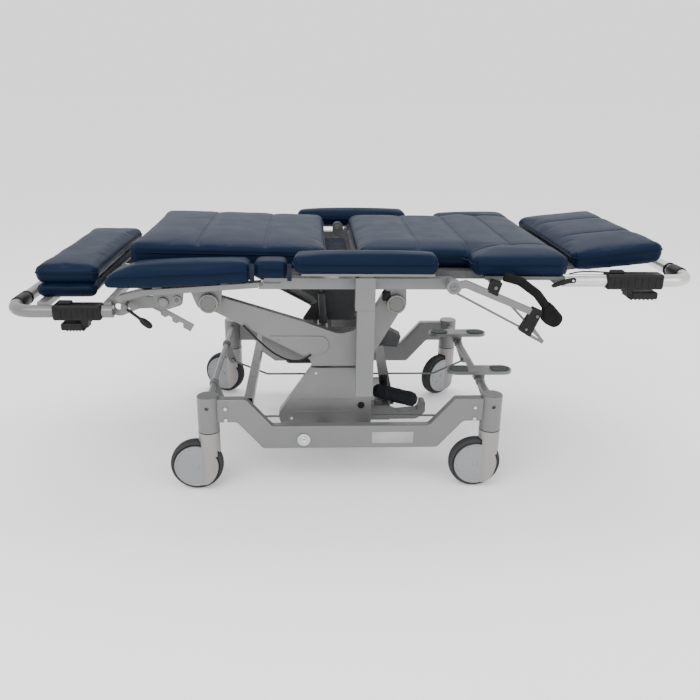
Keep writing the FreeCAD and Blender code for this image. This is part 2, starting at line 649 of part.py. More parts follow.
# --- backrest, head section ------------------------------------------------------------------------

def back_frame():
    """Backrest side plates with hinge ears, cross bars, pad boards and the ears of the head hinge."""
    hip_x, hip_z, end = size("hip_x"), size("hip_z"), size("back_end")
    ear = [(hip_x - 16, hip_z + 16, 15), (hip_x + 16, hip_z + 16, 15), (hip_x + 22, 626, 6), (end - 4, 626, 3),
           (end - 4, 603, 3), (hip_x + 12, 603, 14), (hip_x - 16, 618, 12)]
    side_plate = plate(ear, 288, "dims.bracket_thickness", holes=[(hip_x, hip_z, "dims.pin_radius + dims.running_gap")])
    cross_bars = [box((40, 70), (-290, 290), (605, 618)), box((370, 395), (-362, 362), (603, 618)),
                  box((545, 570), (-362, 362), (603, 618))]
    board = box((14, end - 4), (-280, 280), (617, size("pad_base") - 1.5))
    wing_boards = [box((352, 569), y, (617, size("pad_base") - 1.5)) for y in ((-362, -293), (293, 362))]
    pivot = (size("head_pivot_x"), size("head_pivot_z"), "dims.axle_radius + dims.running_gap")
    head_ear = plate([(570, 604, 2), (pivot[0] + 4, 608, 10), (pivot[0] + 12, pivot[1] + 12, 11), (pivot[0] - 12, pivot[1] + 12, 6),
                      (570, 622, 2)], 262, 8, holes=[pivot])
    return fuse(both_sides(side_plate), both_sides(head_ear), *cross_bars, board, *wing_boards)


def push_bar(start_x, end_x, z):
    """A U-shaped tube that runs out past the pads and across."""
    side = size("bar_y")
    turn = size("bar_bend")
    corners = [(start_x, -side), (end_x, -side, turn), (end_x, side, turn), (start_x, side)]
    return swept_bar(corners, "dims.bar_radius", Rotation(), (0, 0, z))


def handset(x_low, x_high, z, pivot_x):
    """A moulded lever housing clamped on a push bar, with two ears for its trigger."""
    y, half_depth, half_height = size("bar_y"), size("handset_depth") / 2, size("handset_height") / 2
    shell = box((x_low, x_high), (-y - half_depth, -y + half_depth), (z - half_height, z + half_height), 7)
    ears = [box((pivot_x - 8, pivot_x + 8), (-y + low, -y + low + 4), (z - half_height - 13, z - half_height + 8))
            for low in (-20, 16)]
    bore = y_cylinder(3.05, pivot_x, z - half_height - 6, -y - 40, 80)
    passage = cylinder("dims.bar_radius + dims.assembly_gap", x_high - x_low + 20, (x_low - 10, -y, z),
                       Rotation(Vector(0, 1, 0), 90))
    return cut(fuse(shell, *ears), bore, passage)


def trigger(pivot_x, tip_x, z):
    """A squeeze trigger below the handset that turns on a pin between the handset's ears."""
    y, bottom = size("bar_y"), z - size("handset_height") / 2
    heading = 1 if tip_x > pivot_x else -1
    reach = sorted((pivot_x + heading * 9, tip_x))
    grip = box(reach, (-y - 19, -y + 19), (bottom - 28, bottom - 8), 5)
    neck = box(sorted((pivot_x - heading * 6, pivot_x + heading * 12)), (-y - 15, -y + 15), (bottom - 20, bottom - 2))
    pin = y_cylinder(3, pivot_x, bottom - 6, -y - 20, 40)
    return fuse(grip, neck, pin)


def head_frame():
    """The tilting board under the head cushion with its hinge tube and pin."""
    x, z = size("head_pivot_x"), size("head_pivot_z")
    board = plate([(x - 2, z - 4), (852, 649, 2), (851, 658, 2), (x - 3, 631)], -255, 510)
    knuckle = y_cylinder(9, x, z, -255, 510)
    pin = y_cylinder("dims.axle_radius", x, z, -275, 550)
    return fuse(board, knuckle, pin)


def head_pad():
    """The head cushion, which follows its board up towards the end."""
    corners = [(608, 634, 18), (606, 686, 24), (866, 712, 24), (873, 664, 18)]
    return cushion(corners, size("foot_pad_half_width") + 1, 15)


def back_lever():
    """A release lever under the near end of the backrest."""
    lever = plate([(596, 626, 4), (596, 612, 5), (575, 610, 20), (536, 598, 4), (528, 604, 4), (570, 621, 20)], 364, 8)
    return cut(lever, y_cylinder(3.05, size("back_lever_x"), size("back_lever_z"), -380, 30))


# --- foot section ----------------------------------------------------------------------------------

def leg_frame():
    """Foot-section side plates, push bar and cross straps, hinged at the knee pins."""
    knee = (size("knee_x"), size("knee_z"), "dims.pin_radius + dims.running_gap")
    outline = [(-494, 558, 15), (-600, 558, 30), (-660, 556, 15), (-664, 516, 22), (-628, 501, 30), (-575, 524, 30),
               (-494, 527, 15)]
    holes = [knee, (-630, 529, "9"), (-604, 522, "4.5")]
    side_plate = plate(outline, size("leg_plate_inner"), "dims.leg_plate_thickness", holes=holes)
    rack_pin = y_cylinder(4, size("rack_pivot_x"), size("rack_pivot_z"), -314, 14)
    bar = push_bar(size("foot_bar_start"), size("foot_bar_end"), size("foot_bar_z"))
    link = box((-662, -641), (-340, -315), (509, 530))
    latch_pin = y_cylinder(4, size("latch_x"), size("latch_z"), -366, 50)
    straps = [box(x, (-size("bar_y"), size("bar_y")), (530, 546)) for x in ((-664, -644), (-838, -812))]
    sides = both_sides(fuse(side_plate, rack_pin, link))
    return fuse(bar, sides, latch_pin, *straps)


def ratchet_rack():
    """A toothed support strut that hangs from the foot section."""
    x, z = size("rack_pivot_x"), size("rack_pivot_z")
    along = (Vector(-436, 466, 0) - Vector(x, z, 0)).normalize()
    across = Vector(along.y, -along.x, 0)
    profile = [(-8, -8), (126, -8), (126, 14), (104, 14), (98, 4), (88, 4), (82, 13), (70, 13), (64, 4), (54, 4),
               (48, 13), (36, 13), (30, 6), (-8, 8)]
    corners = [Vector(x, z, 0) + along * reach + across * depth for reach, depth in profile]
    rack = plate([(point.x, point.y, 1.5) for point in corners], 302, 5, holes=[(x, z, "4.05")])
    return rack


def latch_lever():
    """The lever with a round knob that frees the foot section."""
    x, z = size("latch_x"), size("latch_z")
    rod = strut((x + 2, -361, z - 2), (-556, -361, 499), 3.5)
    knob = strut((-562, -361, 504), (-540, -361, 485.5), 8.5)
    boss = y_cylinder(9, x, z, -366, 10)
    return cut(fuse(rod, knob, boss), y_cylinder(4.05, x, z, -380, 40))


# --- side rails ------------------------------------------------------------------------------------

def side_rail():
    """A folding side rail: hub, bar, middle bracket, end clamp, stay rod and tongues."""
    inner, depth = size("side_rail_inner"), "dims.side_rail_depth"
    x, z = size("side_rail_x"), size("side_rail_z")
    hub = y_cylinder(19.5, x, z, -inner - size("side_rail_depth"), depth)
    knuckle = y_cylinder(10, 294, 614, -inner - size("side_rail_depth"), depth)
    bar = plate([(262, 618, 2), (296, 624, 6), (482, 546, 2), (475, 530, 2), (292, 605, 6), (262, 600, 2)], inner, depth)
    bracket = plate([(360, 628, 2), (389, 619, 2), (378, 583, 2), (352, 595, 2)], inner - 1, 18)
    clamp = plate([(478, 553, 3), (505, 541, 3), (476, 470, 3), (444, 489, 3)], inner - 1, 18)
    tongues = [plate(corners, inner + 4, 6) for corners in
               ([(486, 496, 1), (519, 455, 1), (513, 454, 1), (478, 486, 1)], [(476, 478, 1), (516, 455, 1), (513, 449, 1), (466, 474, 1)])]
    stay = strut((264, -inner - 6, 592), (450, -inner - 6, 495), 3)
    brace = strut((412, -inner - 6, 562), (466, -inner - 6, 508), 3)
    pin_hole = y_cylinder("dims.axle_radius + dims.running_gap", x, z, -inner - 60, 120)
    return cut(fuse(hub, knuckle, bar, bracket, clamp, *tongues, stay, brace), pin_hole)


def side_handle():
    """The foam grip that arches over the side rail and its rounded end stop."""
    y = -size("side_rail_inner") - size("side_rail_depth") / 2
    grip = swept_bar([(395, 634), (438, 622, 40), (486, 588, 40), (512, 556)], "dims.handle_radius",
                     Rotation(Vector(1, 0, 0), 90), (0, y, 0))
    stop = plate([(507, 550, 8), (524, 566, 10), (563, 524, 20), (542, 494, 20), (507, 512, 10)], 380, 30)
    return fuse(grip, stop)


# --- assembly --------------------------------------------------------------------------------------

def add_pair(make, label):
    near = keep(make(), f"{label}_near")
    keep(mirror(near), f"{label}_far")


def add_base():
    add_pair(base_rail, "base_rail")
    sockets = [caster_socket(x) for x in (-size("stem_x"), size("stem_x"))]
    keep(both_sides(group(*sockets)), "caster_sockets")
    keep(base_crossbeams(), "base_crossbeams")
    keep(column_tube(0, size("column_bottom"), size("outer_column_top")), "outer_column")
    keep(lower_cover(), "lower_covers")
    keep(drive_case(), "drive_case")
    keep(strut((80, -165, 215), (206, -165, 187), 20), "drive_boot")
    keep(plate([(84, 340, 4), (110, 344, 4), (152, 152, 2), (114, 152, 2)], 70, 38), "lift_motor")
    keep(base_fasteners(), "base_fasteners")
    for end, x in (("foot", -size("stem_x")), ("head", size("stem_x"))):
        for side, y in (("near", -size("stem_y")), ("far", size("stem_y"))):
            swivel = size(f"{end}_far_swivel") if side == "far" else 0
            keep(turned(fork(x, y), x, y, swivel), f"caster_fork_{end}_{side}")
            keep(turned(wheel(x, y), x, y, swivel), f"caster_wheel_{end}_{side}")


def add_brakes():
    x = size("stem_x")
    shaft = brake_shaft(x, "dims.brake_sleeve_radius", "dims.brake_pin_radius + dims.running_gap")
    pedals = [pedal(y) for y in (-size("pedal_y"), size("pedal_y"))]
    keep(fuse(shaft, *pedals), "brake_pedal_shaft")
    keep(brake_shaft(-x, 9, "dims.brake_pin_radius + 0.5"), "brake_foot_shaft")
    keep(group(*[brake_rod(y - 4.5) for y in BRAKE_ARMS]), "brake_rods")


def add_lift():
    keep(column_tube(size("column_step"), size("column_bottom") + 4, size("stage_top")), "lift_stage")
    keep(inner_column(), "inner_column")


def add_deck():
    add_pair(yoke, "yoke")
    keep(cross_tubes(), "cross_tubes")
    add_pair(seat_rail, "seat_rail")
    keep(both_sides(side_tube()), "side_tubes")
    keep(seat_pan(), "seat_pan")
    keep(both_sides(arm_sleeve()), "arm_sleeves")
    keep(motor_box(), "motor_box")
    keep(back_actuator(), "back_actuator")
    route = [(-300, -298, 470), (-262, -298, 428), (-222, -299, 390), (-178, -299, 366), (-140, -298, 364), (-112, -297, 382)]
    keep(held_cable(route, 2.5), "control_cable")
    keep(seat_pad(), "seat_pad")
    keep(both_sides(side_pads()), "side_pads")


def add_armrests():
    inner, width = size("arm_inner"), size("arm_width")
    for side, make in (("near", lambda piece: piece), ("far", mirror)):
        keep(make(arm_post()), f"arm_post_{side}")
        pad = box((size("arm_start"), size("arm_end")), (-inner - width, -inner), (size("arm_bottom"), size("arm_top")), 20)
        keep(make(pad), f"arm_pad_{side}")


def add_backrest():
    keep(back_frame(), "back_frame")
    base, half = size("pad_base"), size("pad_half_width") - 3
    keep(box((size("back_start"), size("back_end")), (-half, half), (base, size("back_pad_top")), 20), "back_pad")
    wing = box((size("wing_start"), size("back_end")), (-size("wing_outer"), -half - 2), (base, size("wing_top")), 20)
    keep(both_sides(wing), "wing_pads")
    keep(back_lever(), "back_lever")
    release_route = [(583.5, -348, 631), (612, -346, 637), (654, -345, 637), (704, -344, 634)]
    keep(held_cable(release_route, 2), "backrest_cable")
    bar = push_bar(size("head_bar_start"), size("head_bar_end"), size("head_bar_z"))
    lever_pin = y_cylinder(3, size("back_lever_x"), size("back_lever_z"), -373, 28)
    keep(fuse(bar, lever_pin), "head_push_bar")
    keep(both_sides(handset(688, 846, size("head_bar_z"), 754)), "head_handsets")
    keep(both_sides(trigger(754, 836, size("head_bar_z"))), "head_triggers")
    keep(head_frame(), "head_frame")
    keep(head_pad(), "head_pad")


def add_foot_section():
    keep(leg_frame(), "leg_frame")
    half = size("foot_pad_half_width")
    upper = box((-858, -683), (-half, half), (588, 637), 17)
    lower = box((-857, -690), (-half, half), (549, 587), 14)
    keep(group(upper, lower), "foot_pads")
    keep(both_sides(handset(-796, -668, size("foot_bar_z"), -712)), "foot_handsets")
    keep(both_sides(trigger(-712, -778, size("foot_bar_z"))), "foot_triggers")
    keep(both_sides(ratchet_rack()), "ratchet_racks")
    keep(latch_lever(), "latch_lever")


def add_side_rails():
    add_pair(side_rail, "side_rail")
    add_pair(side_handle, "side_handle")


def check_and_export():
    doc.recompute()
    faulty = [feature.Name for feature in doc.Objects if {"Invalid", "Error"} & set(feature.State)]
    assert not faulty, f"failed features: {faulty}"
    for feature in SUB_PARTS:
        assert not feature.Shape.isNull() and feature.Shape.isValid(), f"bad shape: {feature.Label}"
        assert feature.Shape.Solids, f"no solid: {feature.Label}"
    os.makedirs("parts", exist_ok=True)
    for feature in SUB_PARTS:
        feature.Shape.exportStep(f"parts/{feature.Label}.step")
    print(len(SUB_PARTS), "sub-parts written")


add_base()
add_brakes()
add_lift()
add_deck()
add_armrests()
add_backrest()
add_foot_section()
add_side_rails()
check_and_export()
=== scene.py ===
import json
import math

import bmesh
import bpy
from mathutils import Matrix, Vector, noise
from mathutils.bvhtree import BVHTree


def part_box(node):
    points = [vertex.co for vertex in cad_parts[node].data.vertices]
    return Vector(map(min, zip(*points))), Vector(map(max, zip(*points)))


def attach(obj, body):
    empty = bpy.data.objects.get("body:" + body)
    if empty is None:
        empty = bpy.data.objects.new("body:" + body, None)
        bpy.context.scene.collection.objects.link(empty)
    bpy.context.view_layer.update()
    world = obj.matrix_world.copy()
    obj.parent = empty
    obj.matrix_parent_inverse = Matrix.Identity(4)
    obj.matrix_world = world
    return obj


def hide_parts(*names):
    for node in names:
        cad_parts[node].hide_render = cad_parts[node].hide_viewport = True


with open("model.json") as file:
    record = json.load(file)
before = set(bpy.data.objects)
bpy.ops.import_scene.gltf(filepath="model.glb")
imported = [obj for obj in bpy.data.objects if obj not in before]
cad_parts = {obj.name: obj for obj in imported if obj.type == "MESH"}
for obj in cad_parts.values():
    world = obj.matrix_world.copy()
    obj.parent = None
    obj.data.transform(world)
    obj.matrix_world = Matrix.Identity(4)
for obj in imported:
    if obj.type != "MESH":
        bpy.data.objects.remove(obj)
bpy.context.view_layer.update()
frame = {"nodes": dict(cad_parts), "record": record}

# Places that several details share, in the frame's metres.
NEAR, FAR = -1, 1
SIDES = (("near", NEAR), ("far", FAR))
STEM_X, STEM_Y = 0.3995, 0.357
BAR_Y = 0.336
HEAD_BAR_END, HEAD_BAR_Z = 0.934, 0.610
FOOT_BAR_END, FOOT_BAR_Z = -0.915, 0.521
BASE_COVER_FACE = 0.2749
HUB_FACE = 0.3319
FORK_COVER_FACE = 0.0220
LATCH_Y = -0.361


# --- materials ---

class Shader:
    """A node material built up step by step on a Principled shader."""

    def __init__(self, name, colour, roughness, metallic=0.0):
        self.material = bpy.data.materials.new(name)
        self.material.use_nodes = True
        self.nodes = self.material.node_tree.nodes
        self.links = self.material.node_tree.links
        self.main = self.nodes["Principled BSDF"]
        self.main.inputs["Metallic"].default_value = metallic
        self.main.inputs["Roughness"].default_value = roughness
        self.main.inputs["Base Color"].default_value = (*colour, 1)
        self.material.diffuse_color = (*colour, 1)
        self.place = self.nodes.new("ShaderNodeTexCoord").outputs["Object"]
        self.normal = None

    def noise(self, scale, detail=3.0, stretch=(1, 1, 1)):
        mapping = self.nodes.new("ShaderNodeMapping")
        mapping.inputs["Scale"].default_value = stretch
        texture = self.nodes.new("ShaderNodeTexNoise")
        texture.inputs["Scale"].default_value = scale
        texture.inputs["Detail"].default_value = detail
        self.links.new(self.place, mapping.inputs["Vector"])
        self.links.new(mapping.outputs["Vector"], texture.inputs["Vector"])
        return texture.outputs["Fac"]

    def cells(self, scale):
        texture = self.nodes.new("ShaderNodeTexVoronoi")
        texture.feature = "DISTANCE_TO_EDGE"
        texture.inputs["Scale"].default_value = scale
        self.links.new(self.place, texture.inputs["Vector"])
        return texture.outputs["Distance"]

    def ramp(self, value, low, high, start=0.3, end=0.7):
        spread = self.nodes.new("ShaderNodeMapRange")
        spread.inputs["From Min"].default_value = start
        spread.inputs["From Max"].default_value = end
        spread.inputs["To Min"].default_value = low
        spread.inputs["To Max"].default_value = high
        self.links.new(value, spread.inputs["Value"])
        return spread.outputs["Result"]

    def tint(self, value, first, second):
        mix = self.nodes.new("ShaderNodeMix")
        mix.data_type = "RGBA"
        mix.inputs["A"].default_value = (*first, 1)
        mix.inputs["B"].default_value = (*second, 1)
        self.links.new(value, mix.inputs["Factor"])
        self.links.new(mix.outputs["Result"], self.main.inputs["Base Color"])
        return self

    def rough(self, value):
        self.links.new(value, self.main.inputs["Roughness"])
        return self

    def bump(self, value, strength, distance):
        node = self.nodes.new("ShaderNodeBump")
        node.inputs["Strength"].default_value = strength
        node.inputs["Distance"].default_value = distance
        self.links.new(value, node.inputs["Height"])
        if self.normal is not None:
            self.links.new(self.normal, node.inputs["Normal"])
        self.normal = node.outputs["Normal"]
        self.links.new(self.normal, self.main.inputs["Normal"])
        return self

    def soften_edges(self, radius):
        """Rounds the look of sharp machined edges without changing the mesh."""
        node = self.nodes.new("ShaderNodeBevel")
        node.samples = 4
        node.inputs["Radius"].default_value = radius
        self.normal = node.outputs["Normal"]
        self.links.new(self.normal, self.main.inputs["Normal"])
        return self

    def set(self, **values):
        for name, value in values.items():
            self.main.inputs[name.replace("_", " ")].default_value = value
        return self


def paint(name, colour, roughness=0.42, metallic=0.35):
    darker = tuple(part * 0.9 for part in colour)
    shader = Shader(name, colour, roughness, metallic).soften_edges(0.0015)
    shader.tint(shader.ramp(shader.noise(6, 4), 0, 1), darker, colour)
    shader.rough(shader.ramp(shader.noise(40), roughness - 0.06, roughness + 0.08))
    shader.bump(shader.noise(1400, 2), 0.10, 0.0004)
    return shader.set(Coat_Weight=0.15, Coat_Roughness=0.3).material


def brushed(name, colour, roughness=0.28):
    shader = Shader(name, colour, roughness, 1.0).soften_edges(0.001)
    shader.tint(shader.ramp(shader.noise(9, 3), 0, 1), tuple(part * 0.85 for part in colour), colour)
    shader.rough(shader.ramp(shader.noise(300, 2, (0.1, 1, 1)), roughness - 0.06, roughness + 0.1))
    shader.bump(shader.noise(900, 2, (0.05, 1, 1)), 0.06, 0.0003)
    return shader.material


def plastic(name, colour, roughness=0.5, grain=0.25, shine=0.5):
    shader = Shader(name, colour, roughness).soften_edges(0.001)
    shader.tint(shader.ramp(shader.noise(12, 3), 0, 1), tuple(part * 0.75 for part in colour), colour)
    shader.rough(shader.ramp(shader.noise(60), roughness - 0.08, roughness + 0.1))
    shader.bump(shader.cells(1500), grain, 0.0002)
    return shader.set(Specular_IOR_Level=shine).material


def rubber(name, colour, roughness=0.75, shine=0.22):
    shader = Shader(name, colour, roughness)
    dusty = tuple(min(1.0, part * 1.35 + 0.003) for part in colour)
    shader.tint(shader.ramp(shader.noise(18, 5), 0, 1), colour, dusty)
    shader.rough(shader.ramp(shader.noise(80), roughness - 0.1, roughness + 0.12))
    shader.bump(shader.noise(700, 4), 0.3, 0.0006)
    return shader.set(Specular_IOR_Level=shine).material


def vinyl(name, colour):
    shader = Shader(name, colour, 0.5)
    darker, lighter = (tuple(part * share for part in colour) for share in (0.92, 1.08))
    shader.tint(shader.ramp(shader.noise(5, 4), 0, 1), darker, lighter)
    shader.rough(shader.ramp(shader.noise(16, 4), 0.46, 0.52))
    shader.bump(shader.noise(26, 3), 0.025, 0.002)
    shader.bump(shader.cells(620), 0.20, 0.0004)
    return shader.set(Specular_IOR_Level=0.11, Specular_Tint=(0.60, 0.78, 1.0, 1)).material


def ground(name, colour):
    shader = Shader(name, colour, 0.9)
    shader.tint(shader.ramp(shader.noise(3, 2), 0, 1), tuple(part * 0.99 for part in colour), colour)
    return shader.set(Specular_IOR_Level=0.1, Emission_Color=(1, 1, 1, 1), Emission_Strength=0.12).material


SILVER = paint("silver_paint", (0.157, 0.158, 0.158), 0.36, 0.35)
SILVER_DARK = paint("silver_paint_shaded", (0.115, 0.116, 0.116), 0.5)
FORK = paint("fork_paint", (0.275, 0.256, 0.252), 0.34)
COVER = paint("wheel_cover_paint", (0.241, 0.249, 0.263), 0.30)
DULL = paint("dull_cap_paint", (0.105, 0.100, 0.092), 0.45, 0.2)
TUBE = brushed("bright_tube", (0.64, 0.635, 0.625), 0.30)
STEEL = brushed("satin_steel", (0.62, 0.63, 0.64), 0.3)
DARK_STEEL = brushed("dark_steel", (0.16, 0.165, 0.17), 0.42)
BLACK = plastic("black_plastic", (0.0055, 0.0055, 0.006), shine=0.22)
GREY_PLASTIC = plastic("grey_plastic", (0.040, 0.042, 0.045), 0.55)
TYRE = rubber("tyre_grey", (0.030, 0.031, 0.032), shine=0.10)
PEDAL_GRIP = rubber("pedal_grip", (0.048, 0.058, 0.055), 0.6)
FOAM = rubber("black_foam", (0.004, 0.004, 0.0045), 0.85, 0.12)
BOOT = rubber("boot_cloth", (0.006, 0.007, 0.010), 0.8)
VINYL = vinyl("navy_vinyl", (0.0030, 0.0078, 0.0225))
PIPING = vinyl("navy_piping", (0.0020, 0.0056, 0.0165))
THREAD = plastic("navy_thread", (0.010, 0.019, 0.042), 0.7)
WEBBING = rubber("webbing", (0.006, 0.009, 0.018), 0.85)
BOARD = paint("board_grey", (0.075, 0.078, 0.08), 0.6, 0.1)
LABEL = plastic("label_plate", (0.34, 0.34, 0.34), 0.4, 0.05)
FLOOR = ground("studio_floor", (0.93, 0.93, 0.93))

# A node takes the finish of the first word here that its name holds; the others are silver.
NODE_FINISH = {
    "fork": FORK, "wheel": TYRE, "handsets": BLACK, "triggers": BLACK, "lever": BLACK, "boot": BOOT,
    "lift_motor": SILVER, "motor": SILVER_DARK, "handle": FOAM, "pad": VINYL, "cable": BLACK,
    "seat_pan": BOARD, "actuator": GREY_PLASTIC, "push_bar": TUBE, "fasteners": STEEL,
    "brake_rods": DARK_STEEL, "back_frame": BOARD, "head_frame": BOARD, "stage": STEEL,
    "inner_column": SILVER_DARK, "drive_case": SILVER_DARK,
}


def finish_node(name):
    for word, material in NODE_FINISH.items():
        if word in name:
            return material
    return SILVER


def finish_nodes():
    for name, node in frame["nodes"].items():
        node.data.materials.clear()
        node.data.materials.append(finish_node(name))


def paint_faces(name, material, chosen):
    """Gives some faces of a CAD node another finish; chosen takes a face's centre and normal."""
    mesh = frame["nodes"][name].data
    mesh.materials.append(material)
    index = len(mesh.materials) - 1
    for face in mesh.polygons:
        if chosen(face.center, face.normal):
            face.material_index = index


def within(outline, margin=0.0006):
    """A test for points inside a convex outline of (x, z) corners, in either turning sense."""
    corners = [Vector(corner) for corner in outline]
    area = sum(a.x * b.y - b.x * a.y for a, b in zip(corners, corners[1:] + corners[:1]))
    side = 1 if area > 0 else -1

    def inside(point):
        spot = Vector((point.x, point.z))
        for first, second in zip(corners, corners[1:] + corners[:1]):
            run = (second - first).normalized()
            if side * (run.x * (spot.y - first.y) - run.y * (spot.x - first.x)) < -margin:
                return False
        return True
    return inside


def near_run(start, end, reach):
    """A test for points close to a straight run between two (x, z) places."""
    def close(point):
        return distance_to_run(Vector((point.x, point.z)), start, end) < reach
    return close


MIDDLE_BRACKET = ((0.360, 0.628), (0.389, 0.619), (0.378, 0.583), (0.352, 0.595))
END_CLAMP = ((0.478, 0.553), (0.505, 0.541), (0.476, 0.470), (0.444, 0.489))
BRACKET_INNER, BRACKET_OUTER = 0.38795, 0.40405
STAY_RODS = (((0.264, 0.592), (0.452, 0.4945)), ((0.414, 0.560), (0.466, 0.508)))
STAY_REACH, STAY_OUTER = 0.0036, 0.3972


def finish_details():
    """Second finishes within single CAD nodes: clamps, stay rods, wheel covers, plugs and housings."""
    for side, _ in SIDES:
        name = f"side_rail_{side}"
        for outline in (MIDDLE_BRACKET, END_CLAMP):
            inside = within(outline)

            def on_bracket(centre, normal, inside=inside):
                proud = abs(centre.y) > BRACKET_OUTER or abs(centre.y) < BRACKET_INNER or abs(normal.y) < 0.5
                return proud and inside(centre)
            paint_faces(name, BLACK, on_bracket)
        for start, end in STAY_RODS:
            close = near_run(start, end, STAY_REACH)

            def on_stay(centre, normal, close=close):
                return close(centre) and abs(centre.y) < STAY_OUTER
            paint_faces(name, DARK_STEEL, on_stay)
        paint_faces(name, DARK_STEEL, lambda centre, normal: centre.x > 0.4865 and centre.z < 0.4965)
    for joint in frame["record"]["behaviour"]["joints"]:
        if joint["name"].startswith("roll_"):
            axle, axis = Vector(joint["pos_m"]), Vector(joint["axis"])

            def on_cover(centre, normal, axle=axle, axis=axis):
                off_face = abs(abs((centre - axle).dot(axis)) - FORK_COVER_FACE)
                return off_face < 0.0004 and abs(normal.dot(axis)) > 0.99
            paint_faces(joint["name"].replace("roll", "caster_fork"), COVER, on_cover)
    paint_faces("base_fasteners", BLACK, lambda centre, normal: abs(centre.y) < 0.30)
    paint_faces("inner_column", GREY_PLASTIC,
                lambda centre, normal: centre.x > 0.09 and abs(centre.y + 0.037) < 0.03)
    paint_faces("seat_pan", WEBBING, lambda centre, normal: centre.x > -0.0772 and centre.z < 0.6055)


def swivel(name):
    """The turn of a caster about its stem, as it is drawn."""
    joint = next(joint for joint in frame["record"]["behaviour"]["joints"] if joint["name"] == f"roll_{name}")
    return math.atan2(-joint["axis"][0], joint["axis"][1])


# --- mesh helpers ---

def add_piece(name, verts, faces, material, body, smooth=True):
    mesh = bpy.data.meshes.new(name)
    mesh.from_pydata([tuple(v) for v in verts], [], faces)
    mesh.validate()
    return finish_mesh(name, mesh, material, body, smooth)


def finish_mesh(name, mesh, material, body, smooth=True):
    mesh.materials.clear()
    mesh.materials.append(material)
    if smooth:
        mesh.shade_smooth()
    piece = bpy.data.objects.new(name, mesh)
    bpy.context.collection.objects.link(piece)
    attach(piece, body)
    return piece


def from_bmesh(name, bm, material, body, smooth=True):
    bmesh.ops.recalc_face_normals(bm, faces=bm.faces)
    mesh = bpy.data.meshes.new(name)
    bm.to_mesh(mesh)
    bm.free()
    return finish_mesh(name, mesh, material, body, smooth)


def add_block(bm, low, high, bevel, segments):
    """Adds a box with rounded edges to a mesh in the making."""
    low, high = Vector(low), Vector(high)
    made = bmesh.ops.create_cube(bm, size=1)["verts"]
    size, centre = high - low, (high + low) / 2
    for vert in made:
        vert.co = Vector([vert.co[i] * size[i] for i in range(3)])
    edges = {edge for vert in made for edge in vert.link_edges}
    result = bmesh.ops.bevel(bm, geom=list(edges), offset=bevel, segments=segments, profile=0.5,
                             affect="EDGES")
    for vert in {v for v in made if v.is_valid} | set(result["verts"]):
        vert.co = vert.co + centre


def sweep(name, points, radius, material, body, closed=False, sides=12):
    """A round cord through points, of one radius or one for each; a closed one has no end caps."""
    points = [Vector(p) for p in points]
    count = len(points)
    verts, faces, up = [], [], Vector((0, 0, 1))
    for index, point in enumerate(points):
        ahead = points[(index + 1) % count] if closed or index < count - 1 else point
        behind = points[index - 1] if closed or index > 0 else point
        heading = (ahead - behind).normalized()
        side = heading.cross(up)
        side = side.normalized() if side.length > 1e-4 else Vector((0, 1, 0))
        lift = side.cross(heading).normalized()
        up = lift
        width = radius[index] if isinstance(radius, (list, tuple)) else radius
        for step in range(sides):
            angle = 2 * math.pi * step / sides
            verts.append(point + side * (width * math.cos(angle)) + lift * (width * math.sin(angle)))
    for index in range(count if closed else count - 1):
        first, second = index * sides, ((index + 1) % count) * sides
        for step in range(sides):
            following = (step + 1) % sides
            faces.append((first + step, first + following, second + following, second + step))
    if not closed:
        faces.append(tuple(range(sides))[::-1])
        faces.append(tuple(range((count - 1) * sides, count * sides)))
    return add_piece(name, verts, faces, material, body)


def lathe(name, profile, centre, material, body, segments=64, yaw=0.0):
    """Turns a closed (radius, y) profile about an axis along Y through centre, turned by yaw about Z."""
    verts, faces, count = [], [], len(profile)
    turn = Matrix.Rotation(yaw, 3, "Z")
    for step in range(segments):
        angle = 2 * math.pi * step / segments
        for radius, y in profile:
            spot = Vector((radius * math.cos(angle), y, radius * math.sin(angle)))
            verts.append(Vector(centre) + turn @ spot)
    for step in range(segments):
        first, second = step * count, ((step + 1) % segments) * count
        for index in range(count):
            following = (index + 1) % count
            faces.append((first + index, second + index, second + following, first + following))
    return add_piece(name, verts, faces, material, body)


# --- cushions ---

PADS = []


def part_middle(part):
    """The rounded middle of a part's vertices as (y, z, x), to sort parts by."""
    verts = part[0]
    return tuple(round(sum(v[i] for v in verts) / len(verts), 4) for i in (1, 2, 0))


def loose_parts(node):
    """Vertex and face lists of each separate solid in a CAD node."""
    bm = bmesh.new()
    bm.from_mesh(frame["nodes"][node].data)
    bmesh.ops.remove_doubles(bm, verts=bm.verts, dist=1e-6)
    left, parts = set(bm.verts), []
    while left:
        stack, group = [left.pop()], set()
        while stack:
            vert = stack.pop()
            group.add(vert)
            for edge in vert.link_edges:
                other = edge.other_vert(vert)
                if other in left:
                    left.discard(other)
                    stack.append(other)
        order = {vert: index for index, vert in enumerate(group)}
        faces = [tuple(order[v] for v in f.verts) for f in bm.faces if f.verts[0] in group]
        parts.append(([vert.co.copy() for vert in order], faces))
    bm.free()
    return sorted(parts, key=part_middle)


